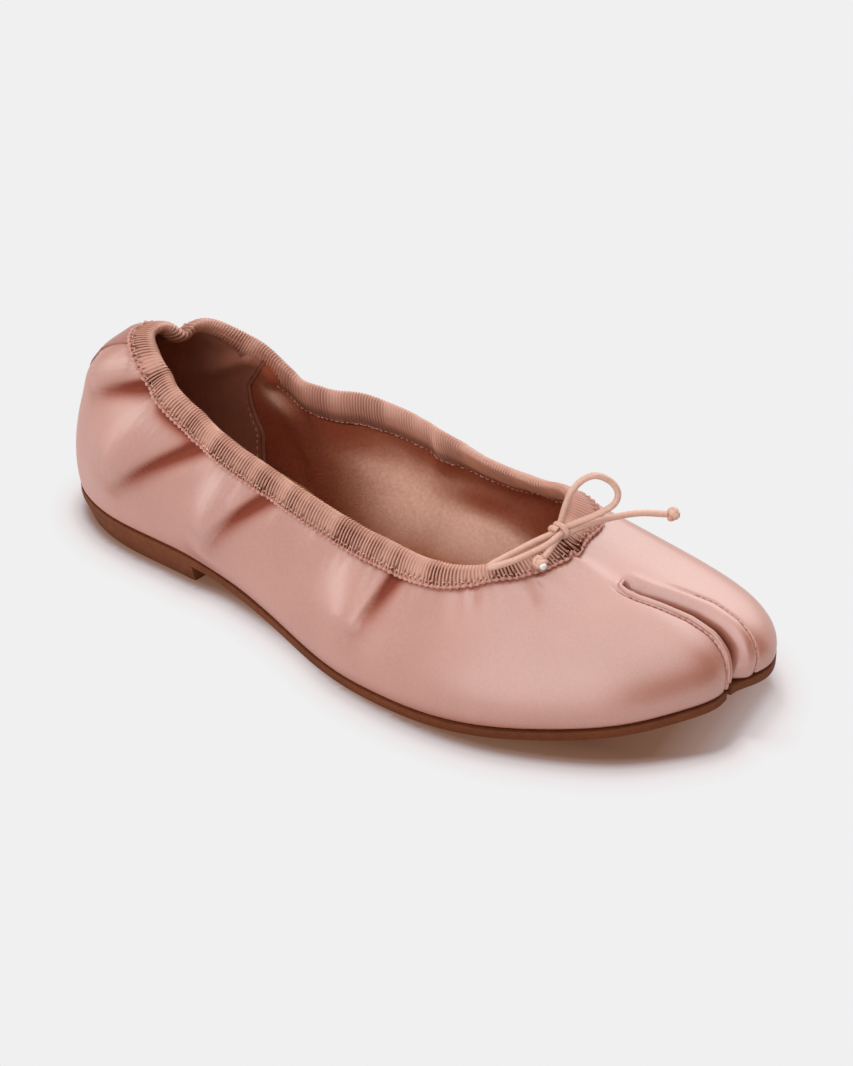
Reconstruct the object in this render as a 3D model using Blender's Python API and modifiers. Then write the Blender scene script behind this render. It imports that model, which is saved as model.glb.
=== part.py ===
"""Split-toe ballet flat, right foot: one slip-on shoe standing on its sole.

Shoe frame while building, in millimetres: x runs from the heel back to the toe,
y is positive on the medial (big toe) side, z is up from the floor.
"""
import math

import bmesh
import bpy
import numpy as np
from mathutils import Vector

MM = 0.001

# driving dimensions, mm
GAP = 0.3                 # clearance between neighbouring pieces
SEAM_GAP = 0.5            # clearance where two faceted curves follow each other
WALL = 1.8                # satin, interlining and lining together
SOLE_THICKNESS = 3.0
HEEL_SEAT = 7.2           # height of the outsole's underside over the heel block
HEEL_BREAST = 59.0        # heel block length from the heel back
ARCH_END = 118.0          # the sole meets the floor here
TREAD_END = 150.0         # and leaves it here
TOE_SPRING = 14.0         # height of the underside at the toe tip
TOE_TIP = 243.0
INSOLE_THICKNESS = 2.0
INSOLE_INSET = 3.0
SOLE_MARGIN = 0.6         # the sole's edge stands out past the upper
HEEL_HALF_WIDTH = 27.0
HEEL_TAPER = 1.6          # heel block narrows towards the floor by this on each side
BREAST_CLEAR = 0.8        # the outline's last point stands this far behind the breast
CASING_WIDTH = 8.2        # gathered ribbon casing round the topline
CASING_THICKNESS = 4.0
CORD = 2.0                # bow cord diameter
CLEFT_START = 194.0       # the split between the toes
CLEFT_RAMP = 5.0
CLEFT_FLOOR = 2.4         # gusset floor above the sole
CLEFT_EASE = 6.0          # depth by which the strip has gathered into two walls
SPLIT_LINE = ((202.0, 0.6), (249.0, -4.9))     # the split's course in plan
NOTCH_WIDTH = 2.2         # saw cut through the outsole
INSOLE_NOTCH_START = 186.0
INSOLE_NOTCH_WIDTH = 10.0 # leaves room for the gusset's walls
BLADE_HEIGHT = 60.0

# how finely the curves are cut
COLUMNS_PER_ROW = 3
WALL_ROWS = 14
CASING_RINGS = 75
CASING_SIDES = 10
SOLE_POINTS = 96
HEEL_POINTS = 192
ARCH_CUTS = 11
SPRING_CUTS = 13
FINE_STEPS = 200          # along one section, to measure along the wall

# One row for each section round the shoe, clockwise from above.  foot: where the
# wall meets the sole; top: crest of the topline; rise and flare: how far the wall
# first climbs and leans out; reach and fall: how the wall comes in under the crest.
SECTIONS = [
    # name         footX footY   topX  topY  topZ  rise flare reach fall
    ("heel back",      0,   0,   31,    4,  70.0,  25,  3,  24,   4),
    ("heel out 1",   5.5, -14,   37,   -4,  69.0,  24,  3,  20,   5),
    ("heel out 2",    24, -23,   45,  -10,  65.0,  20,  4,  15,   8),
    ("quarter out 1", 48, -26,   60,  -15,  59.0,  18,  5,  12,  12),
    ("quarter out 2", 72, -29,   80,  -19,  54.0,  16,  5,  10,  14),
    ("waist out",     98, -35,  105,  -22,  49.0,  14,  5,   9,  14),
    ("ball out 1",   124, -43,  128,  -22.5, 43.5, 13,  4,  10,  12),
    ("ball out 2",   150, -46,  147,  -22,  41.5,  13,  3,  12,   9),
    ("ball out 3",   172, -44,  158,  -19,  42.0,  13,  3,  14,   8),
    ("toe out 1",    192, -38,  165,  -14.5, 43.5, 14,  2,  18,   9),
    ("toe out 2",    212, -29,  170,   -9,  45.5,  16,  2,  24,  11),
    ("toe out 3",    226, -18,  173,   -4,  46.5,  19,  2,  28,  13),
    ("cleft out",    234,  -8.5, 175,   0,  47.0,  21,  1,  30,  14),
    ("cleft in",     236,   0,  175,    2,  47.0,  21,  1,  30,  14),
    ("toe in 1",     242,  10,  174.5,  7,  47.5,  20,  1,  30,  14),
    ("toe in 2",     233,  27,  173,   12,  48.0,  18,  2,  26,  12),
    ("toe in 3",     212,  36,  170,   17,  48.0,  15,  2,  20,   9),
    ("ball in 1",    190,  40,  163,   20.5, 47.0, 13,  2,  14,   8),
    ("ball in 2",    168,  39,  152,   21.5, 45.5, 13,  3,  11,   9),
    ("waist in 1",   143,  32,  130,   24,  47.5,  13,  4,   8,  12),
    ("waist in 2",   114,  23,  103,   26,  52.0,  14,  6,   3,  14),
    ("quarter in 1",  84,  21,   80,   22,  53.0,  16,  7,   2,  16),
    ("quarter in 2",  56,  25,   60,   22.5, 60.0, 18,  6,   5,  14),
    ("heel in 2",     28,  25.5, 46,   20,  66.0,  20,  4,  11,   9),
    ("heel in 1",      7,  16,   37,   13,  69.0,  24,  3,  18,   5),
]
CLEFT_ROW = 12            # the split lies between this section and the next
# across the split: place in the strip, place on the folded wall, depth
CLEFT_PROFILE = [
    # strip  across  depth
    (0.00,   0.00,   0.00),
    (0.12,   0.17,   0.01),
    (0.24,   0.27,   0.09),
    (0.36,   0.30,   0.55),
    (0.44,   0.36,   0.97),
    (0.50,   0.50,   1.00),
    (0.56,   0.64,   0.97),
    (0.64,   0.70,   0.55),
    (0.76,   0.73,   0.09),
    (0.88,   0.83,   0.01),
    (1.00,   1.00,   0.00),
]

# bow cord routes, mm, from the knot outwards
KNOT_AT = (176.4, 1.8, 49.5)
KNOT_SIZE = (5.0, 5.4, 4.6)
TIP_SIZE = (4.0, 4.0, 4.0)
LOOP_OUT = [(174.9, -1.0, 49.4), (172.0, -7, 48.4), (168.4, -13, 46.0), (165.0, -18.6, 44.2),
            (164.6, -21.2, 44.2), (167.4, -20.4, 45.8), (171.2, -14.4, 48.4), (174.4, -7, 50.8),
            (175.6, -1.8, 51.6)]
LOOP_IN = [(178.0, 4.6, 51.4), (179.2, 7, 57), (181.4, 10, 62.2), (184.6, 12.4, 64.6),
           (188, 13.2, 63.4), (189.2, 12.6, 59.6), (187, 10, 55.2), (182.6, 7, 51.6), (178.8, 4.8, 49.3)]
END_IN = [(179.8, 2.2, 48.2), (184, 7.2, 48.1), (188, 12, 48.2), (193, 16.6, 48.2), (198.6, 20.8, 48.0)]
END_OUT = [(178.4, -1.0, 48.5), (179.0, -5, 47.2), (179.2, -8.8, 45.7)]


def mesh_from(vertices_mm, faces):
    mesh = bpy.data.meshes.new("shape")
    mesh.from_pydata([tuple(v * MM for v in p) for p in vertices_mm], [], faces)
    mesh.validate()
    return mesh


def smooth_step(start, end, x):
    t = np.clip((x - start) / (end - start), 0.0, 1.0)
    return t * t * (3 - 2 * t)


def sole_underside(x):
    """Height of the outsole's underside: heel seat, arch, tread and toe spring."""
    x = np.asarray(x, float)
    arch = HEEL_SEAT * (1 - smooth_step(HEEL_BREAST, ARCH_END, x))
    spring = TOE_SPRING * (np.clip(x - TREAD_END, 0, None) / (TOE_TIP - TREAD_END)) ** 1.8
    return arch + spring


def closed_spline(values, u):
    """Smooth closed curve through values at u = 0, 1, 2 and so on."""
    v = np.asarray(values, float)
    n = len(v)
    matrix = 4 * np.eye(n) + np.roll(np.eye(n), 1, 1) + np.roll(np.eye(n), -1, 1)
    bend = np.linalg.solve(matrix, 6 * (np.roll(v, -1, 0) - 2 * v + np.roll(v, 1, 0)))
    u = np.mod(u, n)
    i = np.floor(u).astype(int) % n
    j = (i + 1) % n
    t = (u - np.floor(u))[:, None]
    curve = bend[i] * (1 - t) ** 3 + bend[j] * t ** 3
    return curve / 6 + (v[i] - bend[i] / 6) * (1 - t) + (v[j] - bend[j] / 6) * t


def foot_and_handles(u):
    """Four control points of the wall's section at each u."""
    row = closed_spline([r[1:] for r in SECTIONS], u)
    foot = np.column_stack([row[:, 0], row[:, 1], sole_underside(row[:, 0]) + SOLE_THICKNESS + SEAM_GAP])
    top = row[:, 2:5]
    outward = foot[:, :2] - top[:, :2]
    outward /= np.linalg.norm(outward, axis=1)[:, None]
    low = foot.copy()
    low[:, :2] += outward * row[:, 6:7]
    low[:, 2] += row[:, 5]
    high = top.copy()
    high[:, :2] += outward * row[:, 7:8]
    high[:, 2] -= row[:, 8]
    return foot, low, high, top


def wall_points(u, v):
    """Points on the upper's outer face; u (n,) runs round, v (n, m) from sole to crest."""
    p0, p1, p2, p3 = (p[:, None] for p in foot_and_handles(u))
    v = v[..., None]
    return p0 * (1 - v) ** 3 + 3 * p1 * v * (1 - v) ** 2 + 3 * p2 * v * v * (1 - v) + p3 * v ** 3


def v_below_crest(u, distance):
    """v at a distance below the crest, measured along the wall."""
    fine = np.linspace(0, 1, FINE_STEPS)
    points = wall_points(u, np.tile(fine, (len(u), 1)))
    steps = np.linalg.norm(np.diff(points, axis=1), axis=2)
    from_top = np.cumsum(steps[:, ::-1], axis=1)
    return np.array([1 - np.interp(distance, row, fine[1:]) for row in from_top])


def column_places():
    """u of each column round the upper, with the split's own columns."""
    places = []
    for row in range(len(SECTIONS)):
        if row == CLEFT_ROW:
            places += [row + strip for strip, _, _ in CLEFT_PROFILE[:-1]]
        else:
            places += [row + k / COLUMNS_PER_ROW for k in range(COLUMNS_PER_ROW)]
    return np.array(places)


def fold_cleft(u, v, points):
    """Fold the strip between the toes down into a slot with two walls and a floor."""
    strip = [s for s, _, _ in CLEFT_PROFILE]
    for i, place in enumerate(u):
        s = place - CLEFT_ROW
        if not 0 < s < 1:
            continue
        across = np.interp(s, strip, [a for _, a, _ in CLEFT_PROFILE])
        sink = np.interp(s, strip, [d for _, _, d in CLEFT_PROFILE])
        level = points[i]
        floor = sole_underside(level[:, 0]) + SOLE_THICKNESS + CLEFT_FLOOR
        ramp = smooth_step(CLEFT_START, CLEFT_START + CLEFT_RAMP, level[:, 0])
        depth = np.clip(level[:, 2] - floor, 0, None) * ramp
        towards_wall = np.clip(depth / CLEFT_EASE, 0, 1)
        points[i] = wall_points(place + (across - s) * towards_wall, v[i][:, None])[:, 0]
        points[i, :, 2] -= depth * sink
    return points


def loop_faces(columns, rows):
    """Quads of a tube-like grid that closes round its columns."""
    faces = []
    for i in range(columns):
        k = (i + 1) % columns
        faces += [(i * rows + j, k * rows + j, k * rows + j + 1, i * rows + j + 1) for j in range(rows - 1)]
    return faces


def add_object(name, mesh, material, collection, parent):
    obj = bpy.data.objects.new(name, mesh)
    mesh.materials.append(material)
    collection.objects.link(obj)
    obj.parent = parent
    return obj


def make_material(name, colour, roughness, metallic=0.0):
    material = bpy.data.materials.new(name)
    material.use_nodes = True
    shader = material.node_tree.nodes["Principled BSDF"]
    shader.inputs["Base Color"].default_value = (*colour, 1)
    shader.inputs["Roughness"].default_value = roughness
    shader.inputs["Metallic"].default_value = metallic
    return material


def build_upper(collection, parent, material):
    u = column_places()
    v = np.linspace(0, 1, WALL_ROWS)[None] * v_below_crest(u, CASING_WIDTH + SEAM_GAP)[:, None]
    points = fold_cleft(u, v, wall_points(u, v))
    mesh = mesh_from(points.reshape(-1, 3), loop_faces(len(u), WALL_ROWS))
    upper = add_object("upper", mesh, material, collection, parent)
    wall = upper.modifiers.new("wall", "SOLIDIFY")
    wall.thickness = WALL * MM
    wall.offset = -1
    mesh.shade_smooth()
    return upper


def build_casing(collection, parent, material):
    """Gathered ribbon casing: an oval ring that follows the crest of the topline."""
    u = np.linspace(0, len(SECTIONS), CASING_RINGS, endpoint=False)
    crest = wall_points(u, np.ones((CASING_RINGS, 1)))[:, 0]
    foot_v = v_below_crest(u, CASING_WIDTH)
    below = wall_points(u, foot_v[:, None])[:, 0]
    along = np.roll(crest, -1, 0) - np.roll(crest, 1, 0)
    down = below - crest
    height = np.linalg.norm(down, axis=1)
    down /= height[:, None]
    normal = np.cross(along, down)
    normal /= np.linalg.norm(normal, axis=1)[:, None]
    middle = (crest + below) / 2 + normal * (WALL / 2)
    points = []
    for i in range(CASING_RINGS):
        for k in range(CASING_SIDES):
            a = 2 * math.pi * k / CASING_SIDES
            points.append(middle[i] + down[i] * math.cos(a) * height[i] / 2
                          + normal[i] * math.sin(a) * CASING_THICKNESS / 2)
    faces = []
    for i in range(CASING_RINGS):
        here = i * CASING_SIDES
        ahead = (i + 1) % CASING_RINGS * CASING_SIDES
        for k in range(CASING_SIDES):
            m = (k + 1) % CASING_SIDES
            faces.append((here + k, here + m, ahead + m, ahead + k))
    mesh = mesh_from(points, faces)
    mesh.shade_smooth()
    return add_object("topline_casing", mesh, material, collection, parent)


def foot_outline(offset, count=SOLE_POINTS):
    """Plan outline where the upper meets the sole, moved outwards by offset."""
    u = np.linspace(0, len(SECTIONS), count, endpoint=False)
    line = closed_spline([r[1:3] for r in SECTIONS], u)
    tangent = np.roll(line, -1, 0) - np.roll(line, 1, 0)
    tangent /= np.linalg.norm(tangent, axis=1)[:, None]
    centre = line.mean(axis=0)
    outward = np.column_stack([-tangent[:, 1], tangent[:, 0]])
    if np.sum(outward * (line - centre)) < 0:
        outward = -outward
    return line + outward * offset


def bent_plate(outline, bottom, thickness, stations):
    """Plate with a plan outline, cut at each station and bent to the height bottom(x)."""
    bm = bmesh.new()
    ring = [bm.verts.new((x * MM, y * MM, 0)) for x, y in outline]
    bm.faces.new(ring)
    for x in stations:
        everything = bm.verts[:] + bm.edges[:] + bm.faces[:]
        bmesh.ops.bisect_plane(bm, geom=everything, dist=1e-7, plane_co=(x * MM, 0, 0), plane_no=(1, 0, 0))
    bmesh.ops.recalc_face_normals(bm, faces=bm.faces[:])
    if bm.faces[:][0].normal.z > 0:
        bmesh.ops.reverse_faces(bm, faces=bm.faces[:])
    lower = bm.faces[:]
    upper = bmesh.ops.extrude_face_region(bm, geom=lower, use_keep_orig=True)
    raised = {v for v in upper["geom"] if isinstance(v, bmesh.types.BMVert)}
    for v in bm.verts:
        v.co.z = float(bottom(v.co.x / MM)) * MM + (thickness * MM if v in raised else 0)
    bmesh.ops.recalc_face_normals(bm, faces=bm.faces[:])
    mesh = bpy.data.meshes.new("plate")
    bm.to_mesh(mesh)
    bm.free()
    return mesh


def slot_cutter(name, width, start, collection, parent):
    """Upright blade along the split's line, from x = start to past the toe."""
    bpy.ops.mesh.primitive_cube_add(size=1)
    blade = bpy.context.object
    blade.name = name
    for owner in list(blade.users_collection):
        owner.objects.unlink(blade)
    collection.objects.link(blade)
    blade.parent = parent
    (x0, y0), (x1, y1) = SPLIT_LINE
    heel_end = Vector((start, y0 + (start - x0) * (y1 - y0) / (x1 - x0), 0)) * MM
    toe_end = Vector((x1, y1, 0)) * MM
    axis = toe_end - heel_end
    blade.location = (heel_end + toe_end) / 2
    blade.rotation_euler = (0, 0, math.atan2(axis.y, axis.x))
    blade.scale = (axis.length, width * MM, BLADE_HEIGHT * MM)
    blade.hide_render = True
    blade.display_type = "WIRE"
    return blade


def cut_with(obj, cutter):
    cut = obj.modifiers.new("split", "BOOLEAN")
    cut.operation = "DIFFERENCE"
    cut.object = cutter


def build_sole(collection, cutters, parent, materials):
    arch = np.linspace(HEEL_BREAST, ARCH_END, ARCH_CUTS)
    spring = np.linspace(TREAD_END, TOE_TIP, SPRING_CUTS, endpoint=False)
    stations = [*arch, *spring]
    outsole_mesh = bent_plate(foot_outline(SOLE_MARGIN), sole_underside, SOLE_THICKNESS, stations)
    outsole = add_object("outsole", outsole_mesh, materials["sole"], collection, parent)
    cut_with(outsole, slot_cutter("outsole_split", NOTCH_WIDTH, SPLIT_LINE[0][0], cutters, parent))

    def insole_bottom(x):
        return sole_underside(x) + SOLE_THICKNESS + GAP

    insole_mesh = bent_plate(foot_outline(-INSOLE_INSET), insole_bottom, INSOLE_THICKNESS, stations)
    insole = add_object("insole", insole_mesh, materials["insole"], collection, parent)
    notch = slot_cutter("insole_split", INSOLE_NOTCH_WIDTH, INSOLE_NOTCH_START, cutters, parent)
    cut_with(insole, notch)


def build_heel(collection, parent, material):
    """Low stacked heel: outline of the seat, straight breast, narrowing to the floor."""
    outline = [p for p in foot_outline(SOLE_MARGIN, HEEL_POINTS) if p[0] < HEEL_BREAST - BREAST_CLEAR]
    outline = np.array(sorted(outline, key=lambda p: math.atan2(p[1], p[0] - HEEL_BREAST) % (2 * math.pi)))
    outline = np.vstack([[HEEL_BREAST, outline[0, 1]], outline, [HEEL_BREAST, outline[-1, 1]]])
    centre = np.array([HEEL_BREAST, 0.0])
    tapered = centre + (outline - centre) * (1 - HEEL_TAPER / HEEL_HALF_WIDTH)
    count = len(outline)
    points = [(x, y, 0.0) for x, y in tapered] + [(x, y, HEEL_SEAT - GAP) for x, y in outline]
    faces = [(i, (i + 1) % count, (i + 1) % count + count, i + count) for i in range(count)]
    faces += [tuple(range(count - 1, -1, -1)), tuple(range(count, 2 * count))]
    return add_object("heel", mesh_from(points, faces), material, collection, parent)


def cord_points(route, spacing):
    """Points at even steps on a smooth curve through the route."""
    route = np.array(route, float)
    padded = np.vstack([2 * route[0] - route[1], route, 2 * route[-1] - route[-2]])
    fine = []
    for i in range(1, len(padded) - 2):
        a, b, c, d = padded[i - 1:i + 3]
        for t in np.linspace(0, 1, 12, endpoint=False):
            fine.append(0.5 * (2 * b + (c - a) * t + (2 * a - 5 * b + 4 * c - d) * t * t
                               + (3 * b - a - 3 * c + d) * t ** 3))
    fine.append(route[-1])
    fine = np.array(fine)
    length = np.concatenate([[0], np.cumsum(np.linalg.norm(np.diff(fine, axis=0), axis=1))])
    steps = np.linspace(0, length[-1], max(3, round(length[-1] / spacing)) + 1)
    return np.column_stack([np.interp(steps, length, fine[:, k]) for k in range(3)])


def build_cord(name, route, collection, parent, material):
    curve = bpy.data.curves.new(name, "CURVE")
    curve.dimensions = "3D"
    curve.bevel_depth = CORD / 2 * MM
    curve.bevel_resolution = 2
    curve.use_fill_caps = True
    points = cord_points(route, 2 * CORD)
    spline = curve.splines.new("POLY")
    spline.points.add(len(points) - 1)
    for target, p in zip(spline.points, points):
        target.co = (*(p * MM), 1)
    return add_object(name, curve, material, collection, parent)


def build_knot(name, centre, size, collection, parent, material):
    bm = bmesh.new()
    bmesh.ops.create_uvsphere(bm, u_segments=12, v_segments=8, radius=0.5)
    for v in bm.verts:
        v.co = Vector(v.co[k] * size[k] * MM for k in range(3))
    mesh = bpy.data.meshes.new(name)
    bm.to_mesh(mesh)
    bm.free()
    mesh.shade_smooth()
    knot = add_object(name, mesh, material, collection, parent)
    knot.location = Vector(centre) * MM
    return knot


def build_bow(collection, parent, material):
    build_knot("bow_knot", KNOT_AT, KNOT_SIZE, collection, parent, material)
    build_cord("bow_loop_outer", LOOP_OUT, collection, parent, material)
    build_cord("bow_loop_inner", LOOP_IN, collection, parent, material)
    build_cord("bow_end_outer", END_OUT, collection, parent, material)
    build_cord("bow_end_inner", END_IN, collection, parent, material)
    for name, route in (("bow_tip_outer", END_OUT), ("bow_tip_inner", END_IN)):
        last = np.array(route[-1], float)
        ahead = last - np.array(route[-2], float)
        centre = last + ahead / np.linalg.norm(ahead) * (TIP_SIZE[0] / 2 + GAP)
        build_knot(name, centre, TIP_SIZE, collection, parent, material)


def centre_on_floor(collection, parent):
    """Move the whole shoe so that its box, without the bow, is centred over the origin."""
    graph = bpy.context.evaluated_depsgraph_get()
    corners = []
    for obj in collection.objects:
        if obj.type == "EMPTY" or obj.name.startswith("bow_"):
            continue
        shape = obj.evaluated_get(graph)
        mesh = shape.to_mesh()
        corners += [shape.matrix_world @ v.co for v in mesh.vertices]
        shape.to_mesh_clear()
    low = [min(c[k] for c in corners) for k in range(3)]
    high = [max(c[k] for c in corners) for k in range(3)]
    parent.location = (-(low[0] + high[0]) / 2, -(low[1] + high[1]) / 2, -low[2])
    bpy.context.view_layer.update()


def main():
    for obj in list(bpy.data.objects):
        bpy.data.objects.remove(obj)
    parts = bpy.data.collections.new("ballet_flat")
    cutters = bpy.data.collections.new("cutters")
    for collection in (parts, cutters):
        bpy.context.scene.collection.children.link(collection)
    shoe = bpy.data.objects.new("shoe_origin", None)
    parts.objects.link(shoe)
    materials = {
        "satin": make_material("pink satin", (0.62, 0.36, 0.30), 0.42),
        "ribbon": make_material("grosgrain ribbon", (0.52, 0.30, 0.22), 0.6),
        "cord": make_material("bow cord", (0.60, 0.36, 0.27), 0.6),
        "sole": make_material("leather sole", (0.22, 0.09, 0.05), 0.5),
        "heel": make_material("stacked heel", (0.19, 0.09, 0.055), 0.5),
        "insole": make_material("insole leather", (0.48, 0.20, 0.06), 0.55),
    }
    build_sole(parts, cutters, shoe, materials)
    build_heel(parts, shoe, materials["heel"])
    build_upper(parts, shoe, materials["satin"])
    build_casing(parts, shoe, materials["ribbon"])
    build_bow(parts, shoe, materials["cord"])
    centre_on_floor(parts, shoe)


main()
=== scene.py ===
import math

import bmesh
import bpy
import numpy as np
from mathutils import Matrix, Vector


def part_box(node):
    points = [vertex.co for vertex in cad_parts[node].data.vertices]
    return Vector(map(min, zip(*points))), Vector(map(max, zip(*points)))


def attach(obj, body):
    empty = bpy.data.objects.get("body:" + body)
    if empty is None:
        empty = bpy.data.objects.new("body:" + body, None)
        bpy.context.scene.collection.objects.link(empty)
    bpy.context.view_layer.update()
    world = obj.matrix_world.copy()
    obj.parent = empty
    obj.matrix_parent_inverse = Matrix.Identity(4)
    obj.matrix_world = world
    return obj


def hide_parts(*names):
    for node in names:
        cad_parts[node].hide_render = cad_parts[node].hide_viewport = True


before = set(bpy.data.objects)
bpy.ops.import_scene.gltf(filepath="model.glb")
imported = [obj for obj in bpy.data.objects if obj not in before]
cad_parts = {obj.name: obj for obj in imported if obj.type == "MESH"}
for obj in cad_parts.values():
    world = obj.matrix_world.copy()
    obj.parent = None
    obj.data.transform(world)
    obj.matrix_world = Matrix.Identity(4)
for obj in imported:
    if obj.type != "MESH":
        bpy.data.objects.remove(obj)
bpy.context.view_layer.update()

mm = 0.001

# Shoe sizes in millimetres: x from the heel back to the toe, y towards the big toe, z up.
shoe = {
    "soleThickness": 3.0,
    "seamGap": 0.5,           # satin to sole
    "heelSeat": 7.2,          # underside of the sole over the heel block
    "heelBreast": 59.0,
    "archEnd": 118.0,
    "treadEnd": 150.0,
    "toeSpring": 14.0,
    "toeTip": 243.0,
    "insoleThickness": 2.0,
    "knotAt": (176.4, 1.8, 49.5),
}

# One row for each section round the shoe, clockwise from above. foot: where the wall meets the sole;
# top: crest of the topline; rise, flare, reach and fall: how the wall leaves the foot and meets the crest.
sections = [
    # footX footY   topX  topY  topZ  rise flare reach fall
    (   0,   0,     31,    4,  70.0,  25,  3,  24,   4),   # heel back
    ( 5.5, -14,     37,   -4,  69.0,  24,  3,  20,   5),
    (  24, -23,     45,  -10,  65.0,  20,  4,  15,   8),
    (  48, -26,     60,  -15,  59.0,  18,  5,  12,  12),   # outer quarter
    (  72, -29,     80,  -19,  54.0,  16,  5,  10,  14),
    (  98, -35,    105,  -22,  49.0,  14,  5,   9,  14),
    ( 124, -43,    128,  -22.5, 43.5, 13,  4,  10,  12),   # outer ball
    ( 150, -46,    147,  -22,  41.5,  13,  3,  12,   9),
    ( 172, -44,    158,  -19,  42.0,  13,  3,  14,   8),
    ( 192, -38,    165,  -14.5, 43.5, 14,  2,  18,   9),
    ( 212, -29,    170,   -9,  45.5,  16,  2,  24,  11),   # outer toes
    ( 226, -18,    173,   -4,  46.5,  19,  2,  28,  13),
    ( 234,  -8.5,  175,    0,  47.0,  21,  1,  30,  14),
    ( 236,   0,    175,    2,  47.0,  21,  1,  30,  14),
    ( 242,  10,    174.5,  7,  47.5,  20,  1,  30,  14),   # big toe
    ( 233,  27,    173,   12,  48.0,  18,  2,  26,  12),
    ( 212,  36,    170,   17,  48.0,  15,  2,  20,   9),
    ( 190,  40,    163,   20.5, 47.0, 13,  2,  14,   8),
    ( 168,  39,    152,   21.5, 45.5, 13,  3,  11,   9),
    ( 143,  32,    130,   24,  47.5,  13,  4,   8,  12),   # inner waist
    ( 114,  23,    103,   26,  52.0,  14,  6,   3,  14),
    (  84,  21,     80,   22,  53.0,  16,  7,   2,  16),
    (  56,  25,     60,   22.5, 60.0, 18,  6,   5,  14),
    (  28,  25.5,   46,   20,  66.0,  20,  4,  11,   9),
    (   7,  16,     37,   13,  69.0,  24,  3,  18,   5),
]
around = len(sections)

knotLow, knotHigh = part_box("bow_knot")
shoeToRow = np.array((knotLow + knotHigh) / 2) - np.array(shoe["knotAt"]) * mm


def placed(points):
    return np.asarray(points, float) * mm + shoeToRow


def unit(vectors):
    return vectors / np.linalg.norm(vectors, axis=-1, keepdims=True)


def hump(x, middle, half, power=2):
    return np.exp(-((x - middle) / half) ** power)


def runOf(line):
    # how far along a line each of its points lies
    return np.concatenate([[0], np.cumsum(np.linalg.norm(np.diff(line, axis=0), axis=1))])


def smoothStep(start, end, x):
    t = np.clip((np.asarray(x, float) - start) / (end - start), 0.0, 1.0)
    return t * t * (3 - 2 * t)


def soleUnderside(x):
    x = np.asarray(x, float)
    arch = shoe["heelSeat"] * (1 - smoothStep(shoe["heelBreast"], shoe["archEnd"], x))
    run = shoe["toeTip"] - shoe["treadEnd"]
    return arch + shoe["toeSpring"] * (np.clip(x - shoe["treadEnd"], 0, None) / run) ** 1.8


def closedSpline(values, u):
    v = np.asarray(values, float)
    n = len(v)
    matrix = 4 * np.eye(n) + np.roll(np.eye(n), 1, 1) + np.roll(np.eye(n), -1, 1)
    bend = np.linalg.solve(matrix, 6 * (np.roll(v, -1, 0) - 2 * v + np.roll(v, 1, 0)))
    u = np.mod(u, n)
    i = np.floor(u).astype(int) % n
    j = (i + 1) % n
    t = (u - np.floor(u))[:, None]
    curve = bend[i] * (1 - t) ** 3 + bend[j] * t ** 3
    return curve / 6 + (v[i] - bend[i] / 6) * (1 - t) + (v[j] - bend[j] / 6) * t


def smoothWall(u, v):
    # the last's own surface: u runs round the shoe, v from the sole (0) to the crest (1)
    shape = np.broadcast(u, v).shape
    u, v = (np.broadcast_to(a, shape).ravel() for a in (u, v))
    row = closedSpline(sections, u)
    foot = np.column_stack([row[:, :2], soleUnderside(row[:, 0]) + shoe["soleThickness"] + shoe["seamGap"]])
    top = row[:, 2:5]
    outward = unit(foot[:, :2] - top[:, :2])
    low, high = foot.copy(), top.copy()
    low[:, :2] += outward * row[:, 6:7]
    low[:, 2] += row[:, 5]
    high[:, :2] += outward * row[:, 7:8]
    high[:, 2] -= row[:, 8]
    v = v[:, None]
    points = foot * (1 - v) ** 3 + 3 * low * v * (1 - v) ** 2 + 3 * high * v * v * (1 - v) + top * v ** 3
    return points.reshape(*shape, 3)


def wallNormals(u, v):
    shape = np.broadcast(u, v).shape
    u, v = (np.broadcast_to(a, shape) for a in (u, v))
    du = smoothWall(u + 0.01, v) - smoothWall(u - 0.01, v)
    dv = smoothWall(u, np.minimum(v + 0.01, 1.0)) - smoothWall(u, np.maximum(v - 0.01, 0.0))
    return unit(np.cross(du, dv))


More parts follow.
